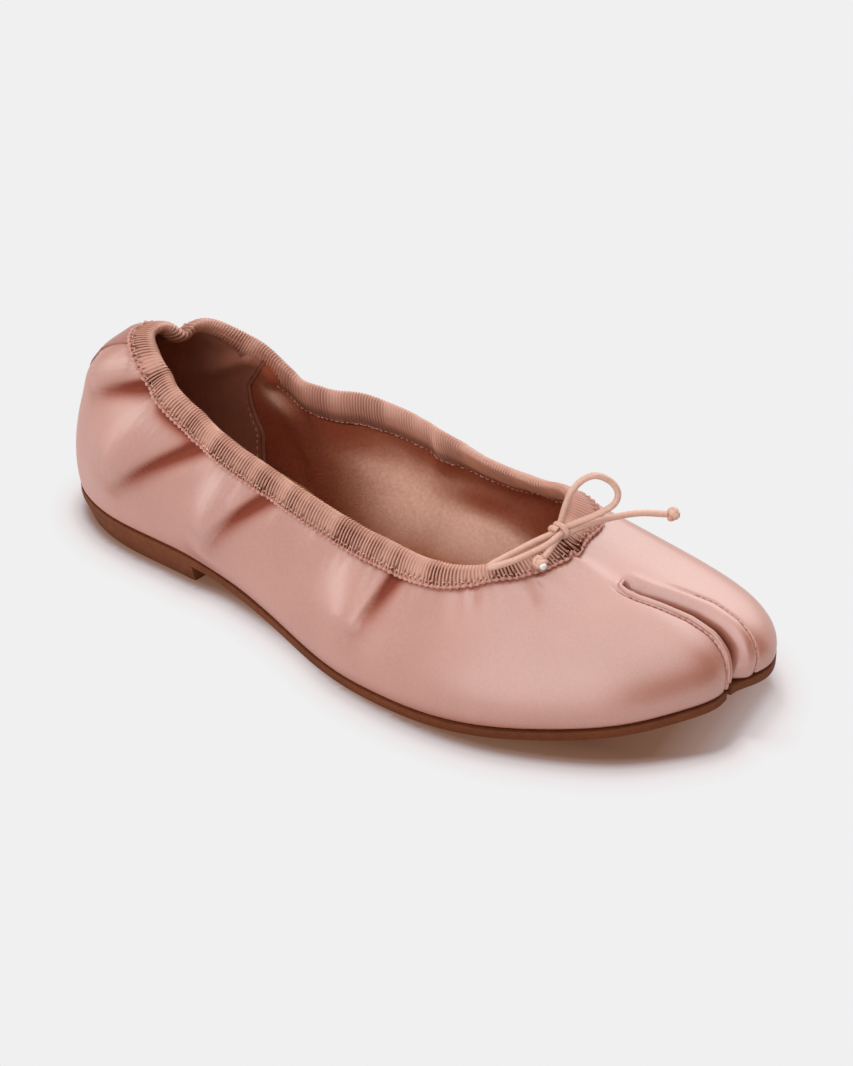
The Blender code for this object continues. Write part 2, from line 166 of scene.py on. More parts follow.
# Soft troughs and ridges of the satin. Each runs from the topline (first place) towards the
# sole (last place). before and after are its half widths towards lower and higher u, high its height
# (a trough's is negative), all in mm. A trough is steep on the side of its puff.
folds = [
    # u0     v0     u1     v1     u2     v2   before after high0 high2
    ( 1.34, 0.92,  1.02, 0.77,  0.64, 0.58,  7.5,  8.0,  1.8,  3.6),   # puff beside the heel patch
    ( 1.92, 0.88,  1.60, 0.74,  1.10, 0.55,  1.3,  4.0, -1.5, -0.5),   # crease under it
    ( 2.56, 0.88,  2.24, 0.58,  1.98, 0.28, 10.0, 10.5,  0.8,  4.5),   # puff of the heel
    ( 2.45, 0.85,  2.80, 0.86,  3.15, 0.88,  3.0,  3.0, -1.2, -1.2),
    ( 3.36, 0.90,  2.88, 0.58,  2.26, 0.25,  1.3,  4.5, -1.5, -0.6),   # long trough of the quarter
    ( 4.14, 0.88,  3.98, 0.58,  3.86, 0.27,  8.5, 10.0,  0.8,  4.7),
    ( 4.54, 0.88,  4.22, 0.57,  3.98, 0.26,  1.3,  4.5, -1.4, -0.5),
    ( 5.86, 0.88,  6.00, 0.64,  6.08, 0.36,  8.5, 10.0,  0.8,  4.5),
    ( 6.50, 0.91,  6.40, 0.70,  6.22, 0.38,  1.3,  4.5, -1.4, -0.5),
    (12.55, 0.70, 11.00, 0.72,  9.90, 0.70,  5.0,  5.0, -0.5, -0.2),   # soft line from the split's start
    ( 8.12, 0.90,  8.08, 0.84,  8.02, 0.78,  1.8,  1.8, -0.9, -0.3),   # gathers under the throat
    ( 9.30, 0.90,  9.38, 0.82,  9.46, 0.74,  2.0,  2.4, -1.0, -0.3),
    (10.20, 0.90, 10.30, 0.82, 10.35, 0.75,  2.4,  2.4, -0.6, -0.2),
    (18.00, 0.82, 18.10, 0.68, 18.30, 0.50,  4.5,  4.5,  1.6,  0.8),
    (19.40, 0.80, 19.60, 0.58, 20.10, 0.08,  4.0,  2.6, -2.6, -1.8),   # deep trough of the inner waist
    (20.00, 0.80, 20.15, 0.55, 20.45, 0.30,  5.0,  5.0,  1.6,  1.0),
    (22.30, 0.88, 22.70, 0.66, 23.05, 0.50,  4.0,  2.0, -3.2, -1.2),   # inner quarter
    (22.90, 0.80, 23.20, 0.64, 23.50, 0.50,  5.0,  5.5,  2.2,  1.6),
    (23.95, 0.88, 24.20, 0.76, 24.50, 0.66,  3.0,  1.6, -2.6, -0.9),
    (24.55, 0.84, 24.50, 0.76, 24.40, 0.70,  4.5,  4.0,  1.8,  0.8),
]

# Painted highlights, pale along the tops of the puffs.
highlightRows = [
    ( 1.22, 0.90,  0.97, 0.80,  0.88, 0.70,  3.0,  4.0,  1.0,  0.7),
    ( 2.45, 0.87,  2.13, 0.62,  2.04, 0.38,  3.5,  5.0,  1.0,  0.8),
    ( 3.83, 0.84,  3.77, 0.66,  3.82, 0.44,  3.0,  5.0,  1.0,  1.0),
    ( 5.80, 0.88,  5.76, 0.68,  5.96, 0.46,  3.2,  6.0,  0.7,  0.7),
]

# The lining has folds of its own.
liningFolds = [
    (18.30, 0.52, 18.20, 0.34, 18.20, 0.14,  5.0,  4.0, -1.6, -2.2),   # soft crease of the big-toe side
    (16.60, 0.60, 16.75, 0.44, 17.00, 0.30,  3.0,  5.0, -1.4, -2.0),
    (21.60, 0.62, 21.50, 0.40, 21.40, 0.20,  4.0,  5.0, -2.2, -1.2),
    (21.85, 0.84, 21.90, 0.78, 22.00, 0.70,  3.2,  4.0, -2.6, -1.4),
]

# Where the elastic pinches or lets go of the rim: place, half length, outwards and upwards, in mm.
rimMoves = [
    # u     half   out    up
    ( 1.85, 3.5,  -1.3, -1.0),
    ( 0.60, 6.0,   0.6,  0.3),
    (24.14, 3.2,  -0.8, -3.6),
    (23.40, 7.0,   0.8,  0.6),
    (22.20, 6.0,   0.5,  0.6),
    (21.35, 5.0,  -0.5, -0.9),
    (20.45, 7.0,   0.6,  0.7),
    (18.70, 8.0,   0.0, -0.5),
    (16.40, 6.0,   0.3,  0.7),
    ( 3.00, 5.0,  -0.8, -0.2),
    ( 4.20, 5.0,  -0.5, -0.2),
    ( 6.20, 6.0,  -0.4,  0.2),
    (12.40, 24.0,  0.0, -1.6),
]


def crestLength():
    u = np.linspace(0, around, 2001)
    return u, runOf(smoothWall(u, np.ones(len(u))))


crestU, crestS = crestLength()


def rimShift(u):
    # how far the elastic moves the rim, out and up, at each u
    s = np.interp(np.mod(u, around), crestU, crestS)
    out, up = np.zeros_like(s), np.zeros_like(s)
    for place, half, outwards, upwards in rimMoves:
        away = np.abs(s - np.interp(place, crestU, crestS))
        away = np.minimum(away, crestS[-1] - away)
        weight = hump(away, 0, half)
        out += weight * outwards
        up += weight * upwards
    return out, up


def foldHeights(points, normals, table):
    # how far the folds of a table lift or sink each point of a wall
    flat, out = points.reshape(-1, 3), normals.reshape(-1, 3)
    height = np.zeros(len(flat))
    t = np.linspace(0, 1, 25)
    end, farthest = len(t) - 1, 60
    for u0, v0, u1, v1, u2, v2, before, after, high0, high2 in table:
        mu, mv = 2 * u1 - (u0 + u2) / 2, 2 * v1 - (v0 + v2) / 2
        line = smoothWall((1 - t) ** 2 * u0 + 2 * t * (1 - t) * mu + t * t * u2,
                          (1 - t) ** 2 * v0 + 2 * t * (1 - t) * mv + t * t * v2)
        ahead = unit(np.gradient(line, axis=0))
        near = np.abs(flat - line[end // 2]).max(axis=1) < farthest
        best = np.argmin(np.linalg.norm(flat[near][:, None] - line[None], axis=2), axis=1)
        share, way = t[best], ahead[best]
        offset = flat[near] - line[best]
        beyond = np.sum(offset * way, axis=1) * ((best == 0) | (best == end))
        aside = np.linalg.norm(offset - beyond[:, None] * way, axis=1)
        towards = np.sum(offset * np.cross(out[near], way), axis=1)
        wide = np.where(towards < 0, before, after)
        high = (high0 + (high2 - high0) * share) * (1 - 0.5 * smoothStep(0.75, 1.0, share))
        if high0 > 0:
            high = high * (0.35 + 0.65 * smoothStep(0.0, 0.35, share))
        height[near] += high * np.exp(-(aside / wide) ** 2 - (beyond / (0.5 * (before + after))) ** 2)
    return height.reshape(points.shape[:-1])


def creaseShade(points, normals):
    # painted shade: the cloth is darker at the bottom of its creases, and most where they start
    deep = [row for row in folds if row[8] < -1.0]
    outer = [(*row[:6], max(row[6] + 0.6, 2.3), min(row[7], 3.5), *row[8:]) for row in deep if row[0] < 12]
    inner = [(*row[:6], 3.6, 3.6, -0.7, -0.35) for row in deep if row[0] > 12]       # wide and soft
    return np.clip(-foldHeights(points, normals, outer + inner) / 0.90, 0, 1)


def satinWall(u, v, table=folds):
    # the wall with its rim pulled by the elastic and its folds
    base = smoothWall(u, v)
    shape = base.shape[:-1]
    u, v = (np.broadcast_to(a, shape) for a in (u, v))
    out, up = rimShift(u)
    weight = smoothStep(0.55, 1.0, v)
    normal = wallNormals(u, v)
    flatNormal = normal * (1, 1, 0)
    flatNormal /= np.maximum(np.linalg.norm(flatNormal, axis=-1, keepdims=True), 0.2)
    base = base + flatNormal * (out * weight)[..., None]
    base[..., 2] += up * weight
    near = 1 - 0.6 * smoothStep(0.86, 1.0, v)
    return base + normal * (foldHeights(base, normal, table) * near)[..., None]


def vBelowCrest(u, distance):
    # the v that lies a distance in mm below the crest
    fine = np.linspace(0, 1, 200)
    points = smoothWall(u[:, None], fine[None])
    fromTop = np.cumsum(np.linalg.norm(np.diff(points, axis=1), axis=2)[:, ::-1], axis=1)
    distance = np.broadcast_to(distance, u.shape)
    return np.array([1 - np.interp(d, row, fine[1:]) for d, row in zip(distance, fromTop)])


# The split between the toes. Distances are across its line, in mm (outer lobe negative).
split = {
    "from": 10.9, "to": 14.9, "middle": 12.5,
    "start": 199.6,           # x
    "bowV": (0.0, 0.10, 0.21, 0.34, 0.46, 0.56, 0.66, 0.76),    # its line bows towards the big toe
    "bow": (1.4, 3.4, 5.0, 5.9, 5.1, 3.1, 0.9, 0.0),
    # the edges of the slit, how far they roll over, and the topstitched seams beside them
    "outerEdge": -0.75, "innerEdge": 0.8,
    "outerRound": 1.1, "innerRound": 4.6,
    "outerSeam": -2.9, "innerSeam": 7.6,
    # how much wider or narrower the big toe's side is, up the wall
    "innerV": (0.0, 0.2, 0.45, 0.6, 0.76), "innerScale": (1.1, 0.98, 1.08, 0.95, 0.72),
    "seamDepth": 0.5, "seamWide": 0.5, "roll": 0.35,
    "gather": (-16.0, 1.5),   # where the columns draw together for it, before and past its start
    "opens": 1.6,             # how fast it deepens from its start
    "floor": -1.4,            # below the top of the sole, so that no web shows
    # the saw cut in the soles under it, seen from above
    "cutFrom": (202.0, 0.6), "cutTo": (249.0, -4.9), "cutSlope": 0.117,
}


def splitProfile():
    # columns across the split: (place across, share of the way down its wall)
    sides = []
    for key, turns in (("outer", 6), ("inner", 12)):
        edge, rounding = split[key + "Edge"], math.copysign(split[key + "Round"], split[key + "Edge"])
        side = [(edge * 0.5, 1.0)] + [(edge, 1 - k / 10) for k in range(11)]
        side += [(edge + rounding * (1 - math.cos(math.pi / 2 * k / turns)), 0.0)
                 for k in range(1, turns + 1)]
        sides.append(side)
    outer, inner = sides
    outer += [(-1.65 - 0.2 * k, 0.0) for k in range(1, 13)]
    last, close = split["innerEdge"] + split["innerRound"], split["innerSeam"] - 1.0
    inner += [(last + (close - last) * k / 3, 0.0) for k in range(1, 4)]
    inner += [(close + 0.25 * k, 0.0) for k in range(1, 9)]              # close columns over the seam
    return outer[::-1] + [(0.0, 1.0)] + inner


def seamColumns():
    # where the two topstitched lines lie among the columns of the split
    places = np.array([place for place, walled in splitProfile()])
    return [int(np.argmin(np.abs(places - split[key]))) for key in ("outerSeam", "innerSeam")]


def upperGrid(stretches, rows, hidden, sideColumns):
    # columns round the upper, closer where it is folded; the zone of the split has its own columns
    plain = np.concatenate([a + np.arange(round((b - a) * count)) / count for a, b, count in stretches])
    before = plain[plain <= split["from"]]
    after = plain[plain >= split["to"]]
    profile = splitProfile()
    count = len(profile) + 2 * sideColumns
    zoneU = split["from"] + (split["to"] - split["from"]) * (np.arange(count) + 1) / (count + 1)
    nominal = np.concatenate([before, zoneU, after])
    v = np.linspace(0, 1, rows)[None] * vBelowCrest(nominal, hidden)[:, None]
    u = np.repeat(nominal[:, None], rows, axis=1)
    start = len(before)
    middle = v[start + count // 2]
    fine = np.linspace(split["from"], split["to"], 201)
    # the split's line on every row, and how far the columns lie from it
    strip = smoothWall(fine[:, None], middle[None])
    run = np.vstack([np.zeros(rows), np.cumsum(np.linalg.norm(np.diff(strip, axis=0), axis=2), axis=0)])
    centre = np.array([np.interp(split["middle"], fine, run[:, j]) for j in range(rows)])
    centre = centre + np.interp(middle, split["bowV"], split["bow"])
    centreU = np.array([np.interp(centre[j], run[:, j], fine) for j in range(rows)])
    left, right = -centre, run[-1] - centre
    scale = np.interp(middle, split["innerV"], split["innerScale"])
    spine = smoothWall(centreU, middle)
    inward = -wallNormals(centreU, middle)
    crossing = unit(smoothWall(centreU + 0.02, middle) - smoothWall(centreU - 0.02, middle))
    past = spine[:, 0] - split["start"]
    across, wall = np.zeros((count, rows)), np.zeros((count, rows))
    for k, (place, walled) in enumerate(profile):
        wall[sideColumns + k] = walled
        beyond = max(place - split["innerEdge"], 0)
        across[sideColumns + k] = place - beyond + beyond * scale
    for k in range(sideColumns):
        share = (k + 1) / (sideColumns + 1)
        across[k] = left + (across[sideColumns] - left) * share
        across[-1 - k] = right + (across[count - 1 - sideColumns] - right) * share
    even = left + (right - left) * ((np.arange(count) + 1) / (count + 1))[:, None]
    gathered = smoothStep(*split["gather"], past)
    across = even + (across - even) * gathered
    for j in range(rows):
        u[start:start + count, j] = np.interp(across[:, j], run[:, j] - centre[j], fine)
    # the columns beside the split keep their rows level with its own
    v[start:start + count] = middle
    points = satinWall(u, v)
    zone = points[start:start + count]
    normals = wallNormals(u[start:start + count], v[start:start + count])
    # the edges roll over into the split, with a sunken seam and a soft roll beside them
    behind = np.clip(-past, 0, None)[None]
    away = np.sqrt(across ** 2 + behind ** 2)
    inner = 0.5 + 0.5 * across / np.maximum(away, 1e-6)
    edge = -split["outerEdge"] + (split["innerEdge"] + split["outerEdge"]) * inner
    rounding = split["outerRound"] + (split["innerRound"] * scale - split["outerRound"]) * inner ** 1.5
    into = np.clip((edge + rounding - away) / rounding, 0, 1)
    sink = rounding * (1 - np.sqrt(1 - into ** 2))
    fade = smoothStep(-3.0, 2.5, past)
    seamInner = split["innerEdge"] + (split["innerSeam"] - split["innerEdge"]) * scale
    seamAt = -split["outerSeam"] + (seamInner + split["outerSeam"]) * inner ** 1.5
    offSeam = (away - seamAt) / split["seamWide"]
    sunken = split["seamDepth"] * np.exp(-offSeam ** 2) * (1 - inner * (1 - smoothStep(4.0, 16.0, past)))
    outerRoll = hump(away, 1.75, 0.7) * (1 - inner)
    innerRoll = hump(away, seamAt * 0.72, 1.6) * inner
    lift = split["roll"] * (outerRoll + 1.3 * innerRoll) - sunken
    zone = zone + normals * (lift * smoothStep(-5.0, 1.0, past))[..., None]
    zone = zone + inward[None] * (sink * fade)[..., None]
    # its walls fall to a line down by the sole
    deepX = split["start"] + 1.5 + 0.3 * np.clip(past, 0, None)
    deepY = split["cutFrom"][1] - split["cutSlope"] * (deepX - split["cutFrom"][0])
    deepZ = soleUnderside(deepX) + shoe["soleThickness"] + split["floor"]
    deep = np.stack([deepX, deepY, deepZ], -1)[None] + crossing[None] * np.clip(across, -1, 1)[..., None]
    fall = deep - zone
    reach = np.linalg.norm(fall, axis=-1)
    allowed = np.clip(past, 0, None)[None] * split["opens"] / np.maximum(reach, 0.1)
    zone = zone + fall * (wall * np.minimum(allowed, 1))[..., None]
    points[start:start + count] = zone
    return u, points, start + sideColumns


def gridNormals(points):
    du = np.roll(points, -1, 0) - np.roll(points, 1, 0)
    dv = np.gradient(points, axis=1)
    normal = np.cross(du, dv)
    return normal / np.maximum(np.linalg.norm(normal, axis=-1, keepdims=True), 1e-9)


def gridFaces(columns, rows, closed=True, rolled=False, flipped=False):
    # quads of a grid of points, column by column: closed joins its last column to the first, rolled its rows
    faces = []
    for i in range(columns if closed else columns - 1):
        here, there = i * rows, (i + 1) % columns * rows
        for j in range(rows if rolled else rows - 1):
            k = (j + 1) % rows
            second, last = (here + k, there + j) if flipped else (there + j, here + k)
            faces.append((here + j, second, there + k, last))
    return faces


def linked(name, data):
    obj = bpy.data.objects.new(name, data)
    bpy.context.scene.collection.objects.link(obj)
    return obj


def addUv(mesh, uv):
    layer = mesh.uv_layers.new(name="UVMap")
    index = np.zeros(len(mesh.loops), int)
    mesh.loops.foreach_get("vertex_index", index)
    layer.data.foreach_set("uv", np.asarray(uv, np.float32)[index].ravel())


def meshObject(name, points, faces, material, uv=None, smooth=True):
    mesh = bpy.data.meshes.new(name)
    mesh.from_pydata(placed(points).tolist(), [], faces)
    mesh.materials.append(material)
    if uv is not None:
        addUv(mesh, uv)
    if smooth:
        mesh.shade_smooth()
    return linked(name, mesh)


def paint(obj, values, name="paintedShade"):
    # an attribute for the material: its painted shade in grooves, creases and hollows, its painted highlight
    # along crests, or how open the floor is
    layer = obj.data.attributes.new(name, "FLOAT", "POINT")
    layer.data.foreach_set("value", np.asarray(values, np.float32).ravel())


def rowRun(points):
    # how far up its column each point lies
    return np.cumsum(np.linalg.norm(np.diff(points, axis=1, prepend=points[:, :1]), axis=2), axis=1)


def gridUv(points):
    middle = points[:, points.shape[1] // 3]
    along = np.repeat(runOf(middle)[:, None], points.shape[1], 1)
    return np.stack([along, rowRun(points)], -1).reshape(-1, 2) * mm


def clothSheet(name, points, material, thick, closed=False, leftOut=None):
    # a grid of points as cloth of a thickness; no face touches a point that is left out
    columns, rows = points.shape[:2]
    faces = gridFaces(columns, rows, closed)
    if leftOut is not None:
        faces = [face for face in faces if not leftOut.ravel()[list(face)].any()]
    obj = meshObject(name, points.reshape(-1, 3), faces, material, gridUv(points))
    wall = obj.modifiers.new("wall", "SOLIDIFY")
    wall.thickness, wall.offset = thick * mm, -1
    return obj


def finished(obj, slot, *nodes):
    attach(obj, "root")
    if nodes:
        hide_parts(*nodes)
    return obj


def applyModifiers(obj):
    mesh = bpy.data.meshes.new_from_object(obj.evaluated_get(bpy.context.evaluated_depsgraph_get()))
    obj.modifiers.clear()
    obj.data = mesh
    return obj


def newMaterial(name):
    material = bpy.data.materials.new(name)
    material.use_nodes = True
    tree = material.node_tree
    return material, tree, tree.nodes["Principled BSDF"]


def addNode(tree, kind, values=(), **settings):
    node = tree.nodes.new(kind)
    for key, value in settings.items():
        setattr(node, key, value)
    for socket, value in dict(values).items():
        node.inputs[socket].default_value = value
    return node


def wire(tree, *pairs):
    for a, b in pairs:
        tree.links.new(a, b)


def mathNode(tree, operation, *values, clamp=False):
    node = addNode(tree, "ShaderNodeMath", operation=operation, use_clamp=clamp)
    for socket, value in zip(node.inputs, values):
        if isinstance(value, (int, float)):
            socket.default_value = value
        else:
            tree.links.new(value, socket)
    return node.outputs[0]


def groupTree(name, numbers, outputs):
    # a shader group that reads a Vector and named numbers
    group = bpy.data.node_groups.new(name, "ShaderNodeTree")
    group.interface.new_socket("Vector", in_out="INPUT", socket_type="NodeSocketVector")
    for label, value in numbers.items():
        group.interface.new_socket(label, in_out="INPUT", socket_type="NodeSocketFloat").default_value = value
    for label in outputs:
        group.interface.new_socket(label, in_out="OUTPUT", socket_type="NodeSocketFloat")
    return group, group.nodes.new("NodeGroupInput").outputs, group.nodes.new("NodeGroupOutput").inputs


def threadGroup():
    # crossing threads on a flat map measured in metres: height and a tone that varies thread by thread
    sizes = {"Warp per metre": 3000.0, "Weft per metre": 3000.0}
    group, given, out = groupTree("crossing threads", {**sizes, "Float": 0.5}, ("Height", "Tone"))
    parts = addNode(group, "ShaderNodeSeparateXYZ")
    wire(group, (given["Vector"], parts.inputs[0]))
    warp, weft = (mathNode(group, "MULTIPLY", parts.outputs[i], given[label])
                  for i, label in enumerate(sizes))
    waves = [mathNode(group, "SINE", mathNode(group, "MULTIPLY", count, 2 * math.pi))
             for count in (warp, weft)]
    half = mathNode(group, "MULTIPLY", mathNode(group, "MULTIPLY", *waves), 0.5)
    height = mathNode(group, "ADD", half, 0.5)
    drawn = addNode(group, "ShaderNodeCombineXYZ")
    streak = addNode(group, "ShaderNodeTexNoise", {"Scale": 1.0, "Detail": 2.0})
    wire(group, (warp, drawn.inputs[0]), (mathNode(group, "MULTIPLY", weft, 0.03), drawn.inputs[1]),
         (drawn.outputs[0], streak.inputs["Vector"]), (streak.outputs["Fac"], out["Tone"]),
         (mathNode(group, "MULTIPLY_ADD", streak.outputs["Fac"], given["Float"], height), out["Height"]))
    return group


def mottleGroup():
    # slow and fast clouds of tone, for cloth and leather alike
    group, given, out = groupTree("mottle", {"Large": 40.0, "Small": 600.0, "Balance": 0.5}, ("Tone",))
    mixed = addNode(group, "ShaderNodeMix", data_type="FLOAT")
    wire(group, (given["Balance"], mixed.inputs[0]), (mixed.outputs[0], out["Tone"]))
    for k, label in enumerate(("Large", "Small")):
        noise = addNode(group, "ShaderNodeTexNoise", {"Detail": 3.0})
        wire(group, (given["Vector"], noise.inputs["Vector"]), (given[label], noise.inputs["Scale"]),
             (noise.outputs["Fac"], mixed.inputs[2 + k]))
    return group


def grainGroup():
    # pebbled leather grain
    group, given, out = groupTree("leather grain", {"Cells per metre": 900.0}, ("Height",))
    cells = addNode(group, "ShaderNodeTexVoronoi", feature="SMOOTH_F1")
    fine = addNode(group, "ShaderNodeTexNoise", {"Detail": 4.0})
    wire(group, (given["Vector"], cells.inputs["Vector"]), (given["Cells per metre"], cells.inputs["Scale"]),
         (given["Vector"], fine.inputs["Vector"]),
         (mathNode(group, "MULTIPLY", given["Cells per metre"], 1.7), fine.inputs["Scale"]))
    height = mathNode(group, "MULTIPLY_ADD", fine.outputs["Fac"], 0.6, cells.outputs["Distance"])
    wire(group, (height, out["Height"]))
    return group


threads, mottle, grain = threadGroup(), mottleGroup(), grainGroup()


def useGroup(tree, group, vector, values):
    node = addNode(tree, "ShaderNodeGroup", node_tree=group)
    for socket, value in values.items():
        node.inputs[socket].default_value = value
    wire(tree, (vector, node.inputs["Vector"]))
    return node


def toneRamp(tree, fac, stops):
    ramp = addNode(tree, "ShaderNodeValToRGB")
    elements = ramp.color_ramp.elements
    while len(elements) < len(stops):
        elements.new(0.5)
    for element, (place, colour) in zip(elements, stops):
        element.position = place
        element.color = (*colour, 1)
    tree.links.new(fac, ramp.inputs[0])
    return ramp.outputs[0]


def bumped(tree, shader, height, strength, distance):
    bump = addNode(tree, "ShaderNodeBump", {"Strength": strength, "Distance": distance})
    wire(tree, (height, bump.inputs["Height"]), (bump.outputs[0], shader.inputs["Normal"]))


def setShader(shader, **values):
    for key, value in values.items():
        shader.inputs[key.replace("_", " ")].default_value = value


def clothMaterial(name, dark, light, roughness, sheen, threadCount, bump, large=30.0, small=260.0,
                  shine=0.5, gloss=1.5, streaks=0.35, fine=0.35):
    material, tree, shader = newMaterial(name)
    uv = addNode(tree, "ShaderNodeUVMap").outputs[0]
    place = addNode(tree, "ShaderNodeTexCoord").outputs["Object"]
    woven = useGroup(tree, threads, uv, {"Warp per metre": threadCount[0], "Weft per metre": threadCount[1],
                                         "Float": 0.6})
    cloud = useGroup(tree, mottle, place, {"Large": large, "Small": small, "Balance": fine})
    tone = mathNode(tree, "MULTIPLY_ADD", woven.outputs["Tone"], streaks,
                    mathNode(tree, "MULTIPLY", cloud.outputs["Tone"], 1 - streaks))
    rough = mathNode(tree, "MULTIPLY_ADD", cloud.outputs["Tone"], 0.16, roughness - 0.08)
    wire(tree, (toneRamp(tree, tone, [(0.36, dark), (0.62, light)]), shader.inputs["Base Color"]),
         (rough, shader.inputs["Roughness"]))
    setShader(shader, Sheen_Weight=sheen, Sheen_Roughness=0.35, Specular_IOR_Level=shine, IOR=gloss)
    bumped(tree, shader, woven.outputs["Height"], *bump)
    return material


def colourMix(tree, shader, amount, other, **settings):
    # mixes another colour, plain or from a node, into the one that the shader has
    mixed = addNode(tree, "ShaderNodeMix", data_type="RGBA", **settings)
    colours = [socket for socket in mixed.inputs if socket.type == "RGBA"]
    wire(tree, (shader.inputs["Base Color"].links[0].from_socket, colours[0]),
         (next(o for o in mixed.outputs if o.type == "RGBA"), shader.inputs["Base Color"]))
    for socket, value in ((mixed.inputs[0], amount), (colours[1], other)):
        if isinstance(value, (float, tuple)):
            socket.default_value = value
        else:
            tree.links.new(value, socket)


def paintShade(material, *stops, silky=True):
    # painted shade: multiplies the colour, and dulls the gloss, by the piece's own attribute of painted shade
    tree = material.node_tree
    shader = tree.nodes["Principled BSDF"]
    paintedShade = addNode(tree, "ShaderNodeAttribute", attribute_name="paintedShade").outputs["Fac"]
    tint = toneRamp(tree, paintedShade, [(0.0, (1.0, 1.0, 1.0)), *stops])
    colourMix(tree, shader, 1.0, tint, blend_type="MULTIPLY")
    rough = shader.inputs["Roughness"].links[0].from_socket
    wire(tree, (mathNode(tree, "MULTIPLY_ADD", paintedShade, 0.4, rough, clamp=True), shader.inputs["Roughness"]))
    if silky:                 # painted reflection: in a silky fold the gloss takes the cloth's own colour, by the same attribute
        wire(tree, (mathNode(tree, "MULTIPLY", paintedShade, 1.0, clamp=True), shader.inputs["Metallic"]))


def paintHighlights(material, colour, amount):
    # painted highlight: mixes a paler colour in by the piece's own crest attribute
    tree = material.node_tree
    crest = addNode(tree, "ShaderNodeAttribute", attribute_name="crest").outputs["Fac"]
    colourMix(tree, tree.nodes["Principled BSDF"], mathNode(tree, "MULTIPLY", crest, amount), (*colour, 1))


def leatherMaterial(name, dark, light, roughness, cells, strength, layers=0.0):
    material, tree, shader = newMaterial(name)
    place = addNode(tree, "ShaderNodeTexCoord").outputs["Object"]
    cloud = useGroup(tree, mottle, place, {"Large": 60.0, "Small": 500.0, "Balance": 0.45})
    pebble = useGroup(tree, grain, place, {"Cells per metre": cells})
    tone = cloud.outputs["Tone"]
    if layers:                # thin dark lines between the stacked lifts
        parts = addNode(tree, "ShaderNodeSeparateXYZ")
        wire(tree, (place, parts.inputs[0]))
        wave = mathNode(tree, "SINE", mathNode(tree, "MULTIPLY", parts.outputs[2], 2 * math.pi / layers))
        sharp = mathNode(tree, "POWER", mathNode(tree, "ABSOLUTE", wave), 8.0)
        tone = mathNode(tree, "ADD", tone, mathNode(tree, "MULTIPLY", sharp, -0.10))
    wire(tree, (toneRamp(tree, tone, [(0.34, dark), (0.64, light)]), shader.inputs["Base Color"]),
         (mathNode(tree, "MULTIPLY_ADD", tone, 0.25, roughness - 0.12), shader.inputs["Roughness"]))
    setShader(shader, Specular_IOR_Level=0.1)
    bumped(tree, shader, pebble.outputs["Height"], strength, 0.00012)
    return material


# dark and light tone, roughness, sheen, threads per metre (warp, weft), bump (strength, metres)
satin = clothMaterial("pink satin", (0.398, 0.143, 0.095), (0.474, 0.178, 0.125), 0.37, 0.0,
                      (2600.0, 900.0), (0.03, 0.00002), large=45.0, small=1300.0, shine=1.0, gloss=1.80,
                      streaks=0.14, fine=0.5)
ribbed = clothMaterial("ribbed satin", (0.30, 0.115, 0.085), (0.38, 0.155, 0.115), 0.45, 0.1,
                       (250.0, 1300.0), (0.5, 0.00012))
ribbon = clothMaterial("grosgrain ribbon", (0.47, 0.198, 0.128), (0.575, 0.253, 0.170), 0.42, 0.0,
                       (1200.0, 3000.0), (0.25, 0.00004), shine=0.8, gloss=1.7)
cordCloth = clothMaterial("braided cord", (0.62, 0.355, 0.270), (0.75, 0.455, 0.360), 0.42, 0.1,
                          (1600.0, 1600.0), (0.3, 0.00006), shine=0.6)
lining = clothMaterial("woven lining", (0.80, 0.44, 0.32), (0.96, 0.59, 0.46), 0.6, 0.0,
                       (1100.0, 1100.0), (0.6, 0.00012), small=900.0, shine=0.12, streaks=0.04, fine=0.6)
# painted shade: the heel lining's colour is darkened for the hollow of the heel, where little light falls
heelLining = clothMaterial("heel lining", (0.29, 0.100, 0.062), (0.37, 0.14, 0.09), 0.42, 0.05,
                           (2400.0, 2400.0), (0.15, 0.00004))
whiteCore = clothMaterial("white cord core", (0.78, 0.78, 0.80), (0.92, 0.92, 0.93), 0.6, 0.1,
                          (3000.0, 3000.0), (0.5, 0.00006))
thread, lightThread, edgeShadeThread, paleThread = (
    clothMaterial(name, dark, light, roughness, 0.1, (4000.0, 4000.0), (0.3, 0.00003))
    for name, dark, light, roughness in (
        ("sewing thread", (0.50, 0.215, 0.165), (0.66, 0.33, 0.27), 0.5),
        ("light thread", (0.68, 0.42, 0.35), (0.82, 0.56, 0.48), 0.45),
        ("dark thread", (0.16, 0.045, 0.03), (0.26, 0.085, 0.055), 0.55),
        ("pale thread", (0.50, 0.27, 0.15), (0.64, 0.38, 0.22), 0.5)))
# painted shade in the ribbon's rib grooves, pleats and fold
paintShade(ribbon, (1.0, (0.22, 0.105, 0.085)))
# painted shade in the satin's creases
paintShade(satin, (0.5, (0.84, 0.74, 0.70)), (1.0, (0.72, 0.52, 0.46)))
# painted light and shade on the lining
paintShade(lining, (0.35, (0.63, 0.50, 0.44)), (0.65, (0.43, 0.245, 0.18)), (1.0, (0.33, 0.135, 0.085)),
           silky=False)
# painted highlights along the satin's puffs
paintHighlights(satin, (0.66, 0.40, 0.345), 0.42)
soleLeather, heelLeather, insoleLeather = (leatherMaterial(*finish) for finish in (
    # name, dark and light tone, roughness, pebbles per metre, bump's strength, thickness of a lift in metres
    ("sole leather", (0.128, 0.036, 0.014), (0.175, 0.054, 0.023), 0.66, 1500.0, 0.25),
    ("heel leather", (0.128, 0.037, 0.015), (0.172, 0.054, 0.024), 0.66, 1300.0, 0.25, 0.0036),
    ("insole leather", (0.42, 0.165, 0.035), (0.54, 0.235, 0.06), 0.45, 1100.0, 0.2)))
print("materials made")


shot = {
    "from": (425.16, -456.18, 468.68),   # in the shoe's own millimetres
    "towards": (129.0, 3.0, 27.0),
    "roll": 2.306, "lens": 77.2, "sensor": 36.0,
}


